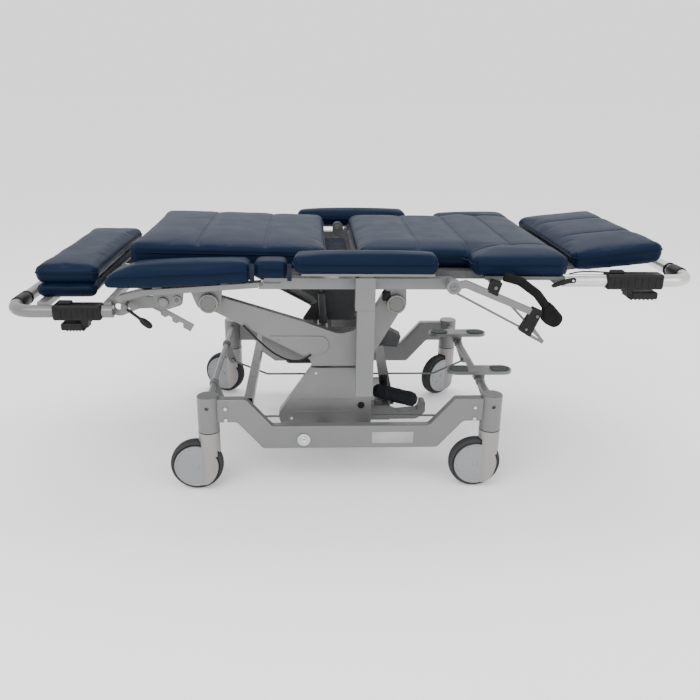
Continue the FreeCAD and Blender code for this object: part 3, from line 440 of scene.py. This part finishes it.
class Pad:
    """A cushion grown from its CAD solid: shaped, inflated as cloth, then sewn and piped."""

    def __init__(self, name, part, body, nodes, inset=0.001, crown=0.008, pull=0.002, cap=0.006,
                 round_by=0.030, seams=(), fill=0.85, neck=None, skirt=0.0):
        verts, faces = part
        self.low = Vector([min(v[i] for v in verts) for i in range(3)])
        self.high = Vector([max(v[i] for v in verts) for i in range(3)])
        self.centre, self.half = (self.low + self.high) / 2, (self.high - self.low) / 2
        self.body, self.nodes, self.cap, self.seams, self.fill = body, nodes, cap, seams, fill
        self.crown, self.pull, self.round_by, self.neck, self.skirt = crown, pull, round_by, neck, skirt
        self.slope = self.tilt_of(verts)
        mesh = bpy.data.meshes.new(name)
        shrink = [max(0.5, 1 - inset / self.half[i]) for i in range(3)]
        shrunk = [self.centre + Vector([(v - self.centre)[i] * shrink[i] for i in range(3)]) for v in verts]
        mesh.from_pydata([tuple(v) for v in shrunk], [], faces)
        self.piece = bpy.data.objects.new(name, mesh)
        bpy.context.collection.objects.link(self.piece)
        self.remesh()
        self.shape()
        PADS.append(self)

    def tilt_of(self, verts):
        """How much the pad's middle rises per metre towards the head end."""
        ends = []
        for sign in (-1, 1):
            edge = [v for v in verts if (v.x - self.centre.x) * sign > self.half.x * 0.45]
            ends.append((max(v.z for v in edge) + min(v.z for v in edge)) / 2)
        return (ends[1] - ends[0]) / (1.45 * self.half.x)

    def middle(self, x):
        return self.centre.z + (x - self.centre.x) * self.slope

    def apply(self, kind, **settings):
        modifier = self.piece.modifiers.new(kind, kind)
        for name, value in settings.items():
            setattr(modifier, name, value)
        graph = bpy.context.evaluated_depsgraph_get()
        mesh = bpy.data.meshes.new_from_object(self.piece.evaluated_get(graph))
        self.piece.modifiers.clear()
        old, self.piece.data = self.piece.data, mesh
        bpy.data.meshes.remove(old)

    def remesh(self):
        self.apply("REMESH", mode="VOXEL", voxel_size=0.006, adaptivity=0.0)

    def outline(self):
        """The plan of the cushion, anticlockwise from above: a rectangle, or a T with a narrow neck."""
        low_x, high_x, middle, wide = self.low.x, self.high.x, self.centre.y, self.half.y
        if self.neck is None:
            return [(low_x, middle - wide), (high_x, middle - wide), (high_x, middle + wide),
                    (low_x, middle + wide)]
        shoulder, narrow = self.neck
        return [(low_x, -narrow), (shoulder, -narrow), (shoulder, -wide), (high_x, -wide), (high_x, wide),
                (shoulder, wide), (shoulder, narrow), (low_x, narrow)]

    def limits(self, co):
        """The start, end and half width of the stretch of cushion that a point belongs to."""
        if self.neck is None:
            return self.low.x, self.high.x, self.half.y
        shoulder, narrow = self.neck
        if abs(co.y) > narrow + 0.004:
            return shoulder, self.high.x, self.half.y
        return self.low.x, self.high.x, narrow if co.x < shoulder else self.half.y

    def edge_share(self, co, u, v):
        """How near a point lies to the cushion's outline, from 0 in the middle to 1 at the edge."""
        if self.neck is None:
            return 1 - (1 - abs(u) ** 4) * (1 - abs(v) ** 4)
        corners = self.outline()
        gap = min(distance_to_run(co, a, b) for a, b in zip(corners, corners[1:] + corners[:1]))
        return max(0.0, 1 - gap / 0.09) ** 2

    def shape(self):
        """Rounds the corners seen from above, crowns the top and draws the sides in between the corners."""
        for vert in self.piece.data.vertices:
            co = vert.co
            start, end, width = self.limits(co)
            middle, half_x = (start + end) / 2, (end - start) / 2
            reach = min(self.round_by, half_x * 0.9, width * 0.9)
            off_x, off_y = co.x - middle, co.y - self.centre.y
            over_x, over_y = abs(off_x) - (half_x - reach), abs(off_y) - (width - reach)
            if over_x > 0 and over_y > 0:
                shrink = max(over_x, over_y) / math.hypot(over_x, over_y)
                co.x = middle + math.copysign(half_x - reach + over_x * shrink, off_x)
                co.y = self.centre.y + math.copysign(width - reach + over_y * shrink, off_y)
            u = max(-1, min(1, (co.x - self.centre.x) / self.half.x))
            v = max(-1, min(1, (co.y - self.centre.y) / self.half.y))
            w = (co.z - self.middle(co.x)) / self.half.z
            edge = self.edge_share(co, u, v)
            co.z -= self.crown * edge * max(0.0, min(1.0, w))
            rim = (abs(off_y) - (self.half.y - 0.030)) / 0.012
            if self.skirt and w < 0 and rim > 0:
                co.z -= self.skirt * min(1.0, -w) * min(1.0, rim)
            co.x -= math.copysign(self.pull * abs(u) ** 5 * (1 - v * v), u)
            co.y -= math.copysign(self.pull * abs(v) ** 5 * (1 - u * u), v)
            ripple = noise.noise(Vector((co.x * 9, co.y * 9, co.z * 4)))
            co.z += 0.0006 * ripple * max(0.0, w)

    def start_cloth(self):
        self.rest = [vert.co.copy() for vert in self.piece.data.vertices]
        cloth = self.piece.modifiers.new("Cloth", "CLOTH")
        cloth.settings.quality = 5
        cloth.settings.mass = 0.3
        cloth.settings.tension_stiffness = 25
        cloth.settings.compression_stiffness = 25
        cloth.settings.shear_stiffness = 8
        cloth.settings.bending_stiffness = 0.8
        cloth.settings.use_pressure = True
        cloth.settings.uniform_pressure_force = 4.0
        cloth.settings.effector_weights.gravity = 0
        cloth.collision_settings.use_collision = False
        cloth.point_cache.frame_start = 1
        cloth.point_cache.frame_end = 20

    def settle_cloth(self):
        graph = bpy.context.evaluated_depsgraph_get()
        blown = [vert.co.copy() for vert in self.piece.evaluated_get(graph).data.vertices]
        self.piece.modifiers.clear()
        for vert, start, end in zip(self.piece.data.vertices, self.rest, blown):
            move = end - start
            if move.length > self.cap:
                move *= self.cap / move.length
            vert.co = start + move
            under = (vert.co.z - self.middle(vert.co.x)) / self.half.z
            if under < 0:
                floor = start.z - 0.002
                vert.co.z = max(vert.co.z, floor)

    def sew(self):
        """Rounds the facets, presses the sewn channels into the top and keeps near the solid's box."""
        self.apply("SUBSURF", levels=1, render_levels=1)
        for vert in self.piece.data.vertices:
            co = vert.co
            w = (co.z - self.middle(co.x)) / self.half.z
            if w > 0.2:
                for start, end in self.seams:
                    gap = distance_to_run(co, start, end)
                    co.z -= 0.0022 * math.exp(-(gap / 0.0045) ** 2) + 0.0020 * math.exp(-(gap / 0.020) ** 2)
            for axis, below, above in ((0, 0.005, 0.005), (1, 0.004, 0.004), (2, 0.001 + self.skirt, 0.004)):
                co[axis] = max(self.low[axis] - below, min(self.high[axis] + above, co[axis]))
        mesh = self.piece.data
        self.tree = BVHTree.FromPolygons([v.co for v in mesh.vertices], [p.vertices for p in mesh.polygons])

    def finish(self):
        mesh = self.piece.data
        mesh.materials.clear()
        mesh.materials.append(VINYL)
        mesh.shade_smooth()
        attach(self.piece, self.body)
        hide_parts(*self.nodes)

    def drop(self, x, y):
        hit = self.tree.ray_cast(Vector((x, y, self.high.z + 0.05)), Vector((0, 0, -1)))
        return hit[0]

    def piping(self, name, level, radius=0.0024):
        """A welt cord laid round the cushion's side at a height from -1, bottom, to 1, top."""
        core = max(0.03, self.round_by * 0.95)
        core = min(core, self.half.x * 0.8, self.half.y * 0.8)
        points = []
        for target, out in outline_walk(self.outline(), core, 0.012):
            z = self.middle(target.x) + level * self.half.z * 0.8
            origin = Vector((target.x, target.y, z)) + out * 0.15
            hit = self.tree.ray_cast(origin, -out)
            if hit[0] is not None:
                points.append(hit[0] + out * (radius * 0.35))
        return sweep(name, points, radius, PIPING, self.body, closed=True, sides=8)

    def stitches(self, name):
        """Short thread stitches on both sides of every sewn channel."""
        bm = bmesh.new()
        for start, end in self.seams:
            run = Vector(end) - Vector(start)
            across = Vector((-run.y, run.x)).normalized() * 0.0045
            count = int(run.length / 0.0075)
            for side in (-1, 1):
                for index in range(2, count - 2):
                    spot = Vector(start) + run * (index / count) + across * side
                    hit = self.drop(spot.x, spot.y)
                    if hit is None:
                        continue
                    half = Vector((abs(run.x), abs(run.y))).normalized() * 0.0021 + Vector((0.0005, 0.0005))
                    low = (hit.x - half.x, hit.y - half.y, hit.z - 0.0003)
                    high = (hit.x + half.x, hit.y + half.y, hit.z + 0.0006)
                    add_block(bm, low, high, 0.0003, 1)
        return from_bmesh(name, bm, THREAD, self.body)


def distance_to_run(co, start, end):
    first, run = Vector(start), Vector(end) - Vector(start)
    spot = Vector((co.x, co.y))
    along = max(0.0, min(1.0, (spot - first).dot(run) / run.length_squared))
    return (first + run * along - spot).length


def outline_walk(corners, core, step):
    """Points round a square-cornered plan inset by core, each with the direction that faces out of it."""
    corners = [Vector((x, y, 0)) for x, y in corners]
    count = len(corners)
    outs = []
    for first, second in zip(corners, corners[1:] + corners[:1]):
        run = (second - first).normalized()
        outs.append(Vector((run.y, -run.x, 0)))
    inner = [corners[i] - core * (outs[i - 1] + outs[i]) for i in range(count)]
    convex = [outs[i - 1].x * outs[i].y - outs[i - 1].y * outs[i].x > 0 for i in range(count)]
    for index in range(count):
        following = (index + 1) % count
        before, out = outs[index - 1], outs[index]
        if convex[index]:
            for turn in range(5):
                angle = math.radians(90) * turn / 4
                yield inner[index], before * math.cos(angle) + out * math.sin(angle)
        run = inner[following] - inner[index]
        length = run.length
        lead = 0 if convex[index] else core + 0.005
        tail = 0 if convex[following] else core + 0.005
        steps = max(2, int((length - lead - tail) / step))
        for position in range(1, steps):
            yield inner[index] + run * ((lead + (length - lead - tail) * position / steps) / length), out


def cross_seam(x, half_width):
    return (x, -half_width), (x, half_width)


def back_parts():
    """The backrest cushion and its two shoulder wings as one T-shaped solid, with level tops."""
    verts, faces = loose_parts("back_pad")[0]
    verts = [Vector((v.x, v.y, v.z + (0.005 if v.z > 0.656 else 0))) for v in verts]
    faces = list(faces)
    for part_verts, part_faces in loose_parts("wing_pads"):
        shift = len(verts)
        for v in part_verts:
            inward = 0.045 if abs(v.y) < 0.330 else 0.0
            drop = 0.012 if v.z > 0.665 else 0.0
            verts.append(Vector((v.x, v.y - math.copysign(inward, v.y), v.z - drop)))
        faces += [tuple(index + shift for index in face) for face in part_faces]
    return verts, faces


def build_pads():
    seat = Pad("seat_cushion", loose_parts("seat_pad")[0], "deck", ["seat_pad"], crown=0.014,
               round_by=0.024, skirt=0.014, seams=[cross_seam(-0.416, 0.266), cross_seam(-0.236, 0.266)])
    fold = [((0.325, side * 0.290), (0.443, side * 0.250)) for side in (-1, 1)]
    fold += [((0.443, side * 0.250), (0.560, side * 0.235)) for side in (-1, 1)]
    cross = [cross_seam(0.183, 0.262), cross_seam(0.320, 0.286), cross_seam(0.443, 0.246)]
    back = Pad("back_cushion", back_parts(), "backrest", ["back_pad", "wing_pads"], crown=0.011,
               round_by=0.024, skirt=0.003, neck=(0.318, 0.283), seams=cross + fold)
    head = Pad("head_cushion", loose_parts("head_pad")[0], "headrest", ["head_pad"], crown=0.017,
               round_by=0.024, skirt=0.020, seams=[((0.642, y), (0.842, y)) for y in (-0.110, 0.110)])
    piped = [(seat, 0.0), (back, -0.1), (head, 0.0)]
    for index, part in enumerate(loose_parts("foot_pads")):
        name = ("foot_cushion_lower", "foot_cushion_upper")[index]
        pad = Pad(name, part, "foot_section", ["foot_pads"], crown=0.009, round_by=0.020, skirt=0.004)
        piped.append((pad, 0.0))
    for part in loose_parts("side_pads"):
        middle = sum((v for v in part[0]), Vector()) / len(part[0])
        side = "near" if middle.y < 0 else "far"
        kind = "side_bolster" if middle.x < -0.3 else "hip_bolster"
        pad = Pad(f"{kind}_{side}", part, "deck", ["side_pads"], crown=0.004, pull=0.001, cap=0.005,
                  round_by=0.016)
        piped.append((pad, -0.1))
    for side, _ in SIDES:
        verts, faces = loose_parts(f"arm_pad_{side}")[0]
        centre_z = (max(v.z for v in verts) + min(v.z for v in verts)) / 2
        verts = [Vector((v.x, v.y, v.z - (0.008 if v.z > centre_z else 0.001))) for v in verts]
        pad = Pad(f"arm_cushion_{side}", (verts, faces), f"armrest_{side}", [f"arm_pad_{side}"],
                  crown=0.007, cap=0.005, round_by=0.022)
        piped.append((pad, -0.15))
    for pad in PADS:
        pad.start_cloth()
    for step in range(1, 21):
        bpy.context.scene.frame_set(step)
    for pad in PADS:
        pad.settle_cloth()
    bpy.context.scene.frame_set(1)
    for pad, level in piped:
        pad.sew()
        pad.finish()
        pad.piping(f"{pad.piece.name}_piping", level)
        if pad.seams:
            pad.stitches(f"{pad.piece.name}_stitches")


# --- wheels, pedals and grips ---

def both_ways(half, crest=()):
    """A closed (radius, y) profile mirrored about y = 0, from the points of its far half."""
    return [(radius, -y) for radius, y in half] + list(crest) + list(reversed(half))


def build_wheels():
    tyre = both_ways([(0.0605, 0.0140), (0.0665, 0.0165), (0.0710, 0.0150), (0.0737, 0.0110),
                      (0.0748, 0.0055)], [(0.0750, 0.0)])
    hub = both_ways([(0.0062, 0.0178), (0.0180, 0.0178), (0.0200, 0.0150), (0.0560, 0.0140),
                     (0.0615, 0.0150)])
    for end in ("foot", "head"):
        for side, _ in SIDES:
            node = f"caster_wheel_{end}_{side}"
            low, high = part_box(node)
            centre = (low + high) / 2
            body, yaw = f"wheel_{end}_{side}", swivel(f"{end}_{side}")
            tread = lathe(f"tyre_{end}_{side}", tyre, centre, TYRE, body, 96, yaw)
            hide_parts(node)
            disc = lathe(f"hub_{end}_{side}", hub, centre, GREY_PLASTIC, body, 64, yaw)
            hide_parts(node)


def build_caster_trim():
    """A seal ring between each socket and its fork, an axle cap and a rim line on both wheel covers."""
    for end in ("foot", "head"):
        for side, sign in SIDES:
            stem_x, stem_y = (-STEM_X, STEM_X)[end == "head"], STEM_Y * sign
            body, yaw = f"caster_{end}_{side}", swivel(f"{end}_{side}")
            low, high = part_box(f"caster_wheel_{end}_{side}")
            axle = (low + high) / 2
            bm = bmesh.new()
            bmesh.ops.create_cone(bm, cap_ends=False, segments=64, radius1=0.0304, radius2=0.0304,
                                  depth=0.0022)
            bmesh.ops.translate(bm, verts=bm.verts, vec=(stem_x, stem_y, 0.1788))
            from_bmesh(f"seal_{end}_{side}", bm, BLACK, body)
            for face in (-1, 1):
                centre = axle + Matrix.Rotation(yaw, 3, "Z") @ Vector((0, face * FORK_COVER_FACE, 0))
                cap = [(0.0001, 0.0022 * face), (0.0065, 0.0019 * face), (0.0080, 0.0004 * face),
                       (0.0084, -0.0010 * face), (0.0001, -0.0010 * face)]
                label = "out" if face == sign else "in"
                lathe(f"axle_cap_{end}_{side}_{label}", cap, centre, COVER, body, 32, yaw)
                ring = [(0.0560, 0.0002 * face), (0.0575, 0.0010 * face), (0.0612, 0.0010 * face),
                        (0.0619, 0.0002 * face), (0.0619, -0.0008 * face), (0.0560, -0.0008 * face)]
                lathe(f"cover_ring_{end}_{side}_{label}", ring, centre, COVER, body, 96, yaw)


def build_pedal_grips():
    """Rounded rubber pads let into both ends of each brake pedal."""
    top, half_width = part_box("brake_pedal_shaft")[1].z, 0.0235
    for side, sign in SIDES:
        for label, toward in (("foot_end", -1), ("head_end", 1)):
            outline = []
            for step in range(17):
                angle = math.radians(-90 + 180 * step / 16)
                outline.append((0.0700 + half_width * math.cos(angle), half_width * math.sin(angle)))
            for step in range(9):
                angle = math.radians(90 + 180 * step / 8)
                outline.append((0.0440 + 0.010 * math.cos(angle), half_width * math.sin(angle)))
            bm = bmesh.new()
            rings = ((0.0, -0.0015), (0.0, 0.0016), (0.0010, 0.0026), (0.0024, 0.0030))
            loops = []
            for shrink, lift in rings:
                loop = []
                for x, y in outline:
                    scale = 1 - shrink / half_width
                    spot = (0.0565 + (x - 0.0565) * scale, y * scale)
                    place = (STEM_X + toward * spot[0], 0.180 * sign + spot[1], top + lift)
                    loop.append(bm.verts.new(place))
                loops.append(loop)
            for first, second in zip(loops, loops[1:]):
                for index in range(len(first)):
                    following = (index + 1) % len(first)
                    bm.faces.new((first[index], first[following], second[following], second[index]))
            bm.faces.new(loops[0])
            bm.faces.new(loops[-1])
            from_bmesh(f"pedal_grip_{label}_{side}", bm, PEDAL_GRIP, "brake_head",
                       smooth=False)


# --- small hardware ---

def bolt_head(bm, centre, radius, height, face):
    """A domed screw head that faces along Y, with a six-sided socket."""
    rings = [(radius * 0.98, 0), (radius, height * 0.35), (radius * 0.9, height * 0.8),
             (radius * 0.72, height), (radius * 0.45, height), (radius * 0.42, height * 0.35)]
    loops = []
    for ring in rings:
        ring_radius, lift = ring
        loop = []
        for step in range(24):
            angle = 2 * math.pi * step / 24
            reach = ring_radius
            if ring == rings[-1]:
                flat = math.cos((angle % (math.pi / 3)) - math.pi / 6)
                reach = ring_radius * math.cos(math.pi / 6) / flat
            loop.append(bm.verts.new((centre[0] + reach * math.cos(angle), centre[1] + face * lift,
                                      centre[2] + reach * math.sin(angle))))
        loops.append(loop)
    for first, second in zip(loops, loops[1:]):
        for step in range(24):
            following = (step + 1) % 24
            bm.faces.new((first[step], first[following], second[following], second[step]))
    bm.faces.new(loops[-1])


def bolts(name, spots, body, material=STEEL):
    """Screw heads on both long sides: (x, |y|, z, radius, height) each."""
    bm = bmesh.new()
    for x, y, z, radius, height in spots:
        for sign in (-1, 1):
            bolt_head(bm, (x, sign * y, z), radius, height, sign)
    return from_bmesh(name, bm, material, body)


def pivot_cap(name, x, z, y, radius, body, finish=DULL):
    """A six-sided plate in a raised ring on the end of a cross tube or pin, on both sides."""
    for side, sign in SIDES:
        rim = [(radius * 0.80, -0.0006), (radius * 0.80, 0.0024), (radius * 0.86, 0.0032),
               (radius * 0.96, 0.0032), (radius, 0.0022), (radius, -0.0006)]
        turned = [(reach, lift * sign) for reach, lift in rim]
        lathe(f"{name}_rim_{side}", turned, (x, y * sign, z), SILVER, body, 48)
        bm = bmesh.new()
        loops = []
        for share, lift in ((0.90, 0.0002), (0.90, 0.0012), (0.84, 0.0020), (0.22, 0.0023)):
            reach = radius * share
            loop = []
            for step in range(6):
                angle = math.radians(60 * step + 12)
                place = (x + reach * math.cos(angle), (y + lift) * sign, z + reach * math.sin(angle))
                loop.append(bm.verts.new(place))
            loops.append(loop)
        for first, second in zip(loops, loops[1:]):
            for index in range(6):
                following = (index + 1) % 6
                bm.faces.new((first[index], first[following], second[following], second[index]))
        bm.faces.new(loops[0])
        bm.faces.new(loops[-1])
        from_bmesh(f"{name}_plate_{side}", bm, finish, body, smooth=False)


def build_hardware():
    rail_screws = [(x, 0.3749, z, 0.0052, 0.0018) for x in (-0.35, 0.35) for z in (0.250, 0.216)]
    bolts("rail_screws", rail_screws + [(-0.133, 0.3769, 0.155, 0.0120, 0.0040)], "base")
    cover_screws = ((-0.170, 0.176), (0.048, 0.318), (-0.098, 0.318))
    bolts("cover_screws", [(x, BASE_COVER_FACE, z, 0.0045, 0.002) for x, z in cover_screws], "base")
    bolts("yoke_rivet", [(-0.205, 0.2929, 0.424, 0.0040, 0.0015)], "deck", SILVER)
    pivot_cap("hub_cap_foot", -0.388, 0.541, HUB_FACE, 0.0262, "deck")
    pivot_cap("hub_cap_head", 0.120, 0.540, HUB_FACE, 0.0262, "deck")
    pivot_cap("knee_cap", -0.509, 0.543, HUB_FACE, 0.0150, "deck", SILVER)
    bolts("rail_bolts", [(-0.2445, 0.3499, 0.600, 0.0050, 0.0020),
                         (-0.472, 0.3309, 0.550, 0.0060, 0.0025)], "deck", DULL)
    bolts("hip_bolts", [(-0.020, 0.3019, 0.640, 0.0085, 0.0040)], "deck")
    for side, sign in SIDES:
        bm = bmesh.new()
        for x, y, z, radius in ((0.262, 0.404, 0.607, 0.0110), (0.372, 0.405, 0.606, 0.0050),
                                (0.490, 0.405, 0.528, 0.0045), (0.463, 0.405, 0.492, 0.0040)):
            bolt_head(bm, (x, sign * y, z), radius, 0.0030, sign)
        from_bmesh(f"side_rail_bolts_{side}", bm, DARK_STEEL, f"side_rail_{side}")


def build_labels():
    """A blank plate on the near rail, and two thin raised ribs on each folded cover."""
    bm = bmesh.new()
    add_block(bm, (0.060, -0.3729, 0.141), (0.178, -0.3719, 0.176), 0.0004, 1)
    from_bmesh("rail_plate", bm, LABEL, "base")
    for side, sign in SIDES:
        bm = bmesh.new()
        near, far = sorted((BASE_COVER_FACE * sign, 0.2762 * sign))
        for start, z in ((-0.165, 0.198), (-0.150, 0.236)):
            add_block(bm, (start, near, z - 0.0012), (0.006, far, z + 0.0012), 0.0005, 1)
        from_bmesh(f"cover_ribs_{side}", bm, SILVER, "base")


def build_handset_detail():
    """Ribs, screws and a thumb lever on each moulded lever housing, with teeth on the triggers."""
    for part, body, squeeze, start, end, z in (
            ("head", "backrest", "head_squeeze", 0.688, 0.846, HEAD_BAR_Z),
            ("foot", "foot_section", "foot_squeeze", -0.796, -0.668, FOOT_BAR_Z)):
        for side, sign in SIDES:
            bm = bmesh.new()
            for index in range(7):
                x = start + 0.022 + index * (end - start - 0.044) / 6
                near, far = sorted((sign * 0.3575, sign * 0.3592))
                add_block(bm, (x - 0.0022, near, z - 0.013), (x + 0.0022, far, z + 0.013), 0.0008, 1)
            for x in (start + 0.010, end - 0.010):
                bolt_head(bm, (x, sign * 0.3578, z + 0.009), 0.0032, 0.0016, sign)
            top = z + 0.0205
            add_block(bm, (start + 0.012, sign * BAR_Y - 0.010, top - 0.001),
                      (start + 0.050, sign * BAR_Y + 0.010, top + 0.009), 0.004, 3)
            from_bmesh(f"{part}_handset_ribs_{side}", bm, BLACK, body)
            bm = bmesh.new()
            low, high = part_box(f"{part}_triggers")
            for index in range(6):
                x = low.x + 0.016 + index * (high.x - low.x - 0.030) / 5
                add_block(bm, (x - 0.0024, sign * BAR_Y - 0.0165, low.z - 0.0022),
                          (x + 0.0024, sign * BAR_Y + 0.0165, low.z + 0.003), 0.0012, 2)
            from_bmesh(f"{part}_trigger_teeth_{side}", bm, BLACK, squeeze)


def build_bar_grips():
    """A short rubber band and a thin stop ring on the cross run of each push bar near its corners."""
    bars = (("head", "backrest", HEAD_BAR_END, HEAD_BAR_Z),
            ("foot", "foot_section", FOOT_BAR_END, FOOT_BAR_Z))
    bands = (("grip", 0.243, 0.028, 0.0194), ("ring", 0.200, 0.0045, 0.0190))
    for part, body, x, z in bars:
        for side, sign in SIDES:
            for kind, middle, half, reach in bands:
                lip = min(0.003, half / 3)
                profile = [(0.0173, -half), (reach, -half), (reach + 0.001, -half + lip),
                           (reach + 0.001, half - lip), (reach, half), (0.0173, half)]
                lathe(f"{part}_bar_{kind}_{side}", profile, (x, sign * middle, z), BLACK, body,
                      48)


def build_straps():
    """Short stitched webbing tabs on the outer face of the hip bolsters."""
    for side, sign in SIDES:
        for index, x in enumerate((-0.2655, -0.1685)):
            bm = bmesh.new()
            rows = []
            for step in range(9):
                z = 0.662 - 0.046 * step / 8
                bulge = 0.3772 + 0.0020 * math.sin(math.pi * step / 8)
                section = ((-0.006, 0), (-0.006, 0.0015), (0.006, 0.0015), (0.006, 0))
                rows.append([bm.verts.new((x + across, sign * (bulge + lift), z))
                             for across, lift in section])
            for first, second in zip(rows, rows[1:]):
                for edge in range(4):
                    following = (edge + 1) % 4
                    bm.faces.new((first[edge], first[following], second[following], second[edge]))
            bm.faces.new(rows[0])
            bm.faces.new(rows[-1])
            for z in (0.655, 0.624):
                near, far = sorted((sign * 0.3790, sign * 0.3806))
                add_block(bm, (x - 0.0045, near, z - 0.0006), (x + 0.0045, far, z + 0.0006), 0.0003, 1)
            from_bmesh(f"strap_{side}_{index}", bm, WEBBING, "deck", smooth=False)


def build_latch():
    """The foot section's release lever: a pivot boss and a straight rod that swells into a rounded, tapering
    knob.
    """
    boss = both_ways([(0.0045, 0.005), (0.0085, 0.005), (0.0092, 0.003)])
    lathe("latch_boss", boss, (-0.604, LATCH_Y, 0.540), DARK_STEEL, "latch", 32)
    start, end = Vector((-0.6005, LATCH_Y, 0.5370)), Vector((-0.536, LATCH_Y, 0.483))
    stations = ((0.0, 0.0030), (0.03, 0.0042), (0.48, 0.0040), (0.54, 0.0046), (0.60, 0.0075), (0.68, 0.0092),
                (0.80, 0.0095), (0.90, 0.0088), (0.96, 0.0068), (0.99, 0.0040), (1.0, 0.0012))
    points = [start.lerp(end, place) for place, _ in stations]
    radii = [radius for _, radius in stations]
    lever = sweep("latch_knob", points, radii, BLACK, "latch", sides=20)
    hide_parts("latch_lever")


def build_boot():
    """A loose, wrinkled fabric sleeve round the drive arm, gathered at its ends."""
    start, end = Vector((0.080, -0.165, 0.220)), Vector((0.214, -0.165, 0.183))
    along = (end - start).normalized()
    side = Vector((0, 1, 0))
    lift = side.cross(along).normalized()
    if lift.z < 0:
        lift = -lift
    count, sides = 64, 40
    verts, faces = [], []
    for row in range(count):
        place = row / (count - 1)
        swell = 0.0200 + 0.0024 * math.sin(math.pi * place) + 0.0018 * math.exp(-((place - 0.82) / 0.09) ** 2)
        gather = 1 - 0.34 * math.exp(-(place / 0.035) ** 2) - 0.40 * math.exp(-((1 - place) / 0.035) ** 2)
        for step in range(sides):
            angle = 2 * math.pi * step / sides
            level, rise = math.cos(angle), math.sin(angle)
            fold = noise.noise(Vector((place * 9 + 0.6 * rise, level * 1.3, rise * 1.3)))
            crease = 1 - abs(noise.noise(Vector((place * 16, level * 2.1, rise * 2.1))))
            reach = swell * gather + 0.0016 * fold + 0.0016 * (crease ** 6 - 0.5)
            verts.append(start.lerp(end, place) + side * (reach * level) + lift * (reach * rise))
    for row in range(count - 1):
        first, second = row * sides, (row + 1) * sides
        for step in range(sides):
            following = (step + 1) % sides
            faces.append((first + step, first + following, second + following, second + step))
    faces.append(tuple(range(sides))[::-1])
    faces.append(tuple(range((count - 1) * sides, count * sides)))
    boot = add_piece("drive_sleeve", verts, faces, BOOT, "base")
    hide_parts("drive_boot")


def build_connectors():
    """Plugs and a terminal block on the lift drive and beside the head-end hub."""
    bm = bmesh.new()
    add_block(bm, (0.104, -0.1155, 0.212), (0.126, -0.1078, 0.246), 0.002, 2)
    for index in range(3):
        low = 0.216 + index * 0.009
        add_block(bm, (0.107, -0.1172, low), (0.123, -0.1150, low + 0.004), 0.0008, 1)
    add_block(bm, (0.109, -0.1140, 0.182), (0.121, -0.1078, 0.200), 0.002, 2)
    from_bmesh("drive_plugs", bm, BLACK, "base")
    bm = bmesh.new()
    add_block(bm, (0.082, -0.3265, 0.548), (0.104, -0.3145, 0.574), 0.0025, 2)
    add_block(bm, (0.086, -0.3285, 0.553), (0.100, -0.3260, 0.569), 0.0010, 1)
    from_bmesh("hub_block", bm, BLACK, "deck")


# --- studio ---

def area_light(name, place, target, size, energy):
    light = bpy.data.lights.new(name, "AREA")
    light.shape = "RECTANGLE"
    light.size, light.size_y = size
    light.energy = energy
    lamp = bpy.data.objects.new(name, light)
    bpy.context.collection.objects.link(lamp)
    lamp.location = place
    lamp.rotation_euler = (Vector(target) - Vector(place)).to_track_quat("-Z", "Y").to_euler()


def build_studio():
    world = bpy.data.worlds.new("studio")
    bpy.context.scene.world = world
    world.use_nodes = True
    background = world.node_tree.nodes["Background"]
    background.inputs["Color"].default_value = (1.0, 1.0, 1.0, 1)
    background.inputs["Strength"].default_value = 1.5
    mesh = bpy.data.meshes.new("floor")
    mesh.from_pydata([(-60, -60, 0), (60, -60, 0), (60, 60, 0), (-60, 60, 0)], [], [(0, 1, 2, 3)])
    mesh.materials.append(FLOOR)
    floor = bpy.data.objects.new("floor", mesh)
    bpy.context.collection.objects.link(floor)
    area_light("key", (-1.6, -2.6, 3.0), (0, 0, 0.4), (2.4, 1.6), 70)
    area_light("fill", (2.4, -2.4, 1.6), (0, 0, 0.4), (2.0, 2.0), 25)
    area_light("top", (0.2, 1.2, 3.2), (0, 0, 0.6), (3.0, 1.5), 60)


def build_camera():
    """The viewpoint: where the camera stands, and its right, forward and up directions."""
    right = Vector((0.998556, -0.051212, 0.016253))
    forward = Vector((0.053698, 0.940869, -0.334487))
    up = Vector((0.001838, 0.334877, 0.942260))
    camera = bpy.data.cameras.new("camera")
    camera.sensor_width = 36
    camera.lens = 36 * 739.456 / 700
    holder = bpy.data.objects.new("camera", camera)
    bpy.context.collection.objects.link(holder)
    turn = Matrix((right, up, -forward)).transposed().to_4x4()
    holder.matrix_world = Matrix.Translation((-0.1147, -2.2637, 1.0953)) @ turn
    bpy.context.scene.camera = holder


finish_nodes()
finish_details()
build_pads()
build_wheels()
build_caster_trim()
build_pedal_grips()
build_hardware()
build_labels()
build_handset_detail()
build_bar_grips()
build_straps()
build_latch()
build_boot()
build_connectors()
build_studio()
build_camera()
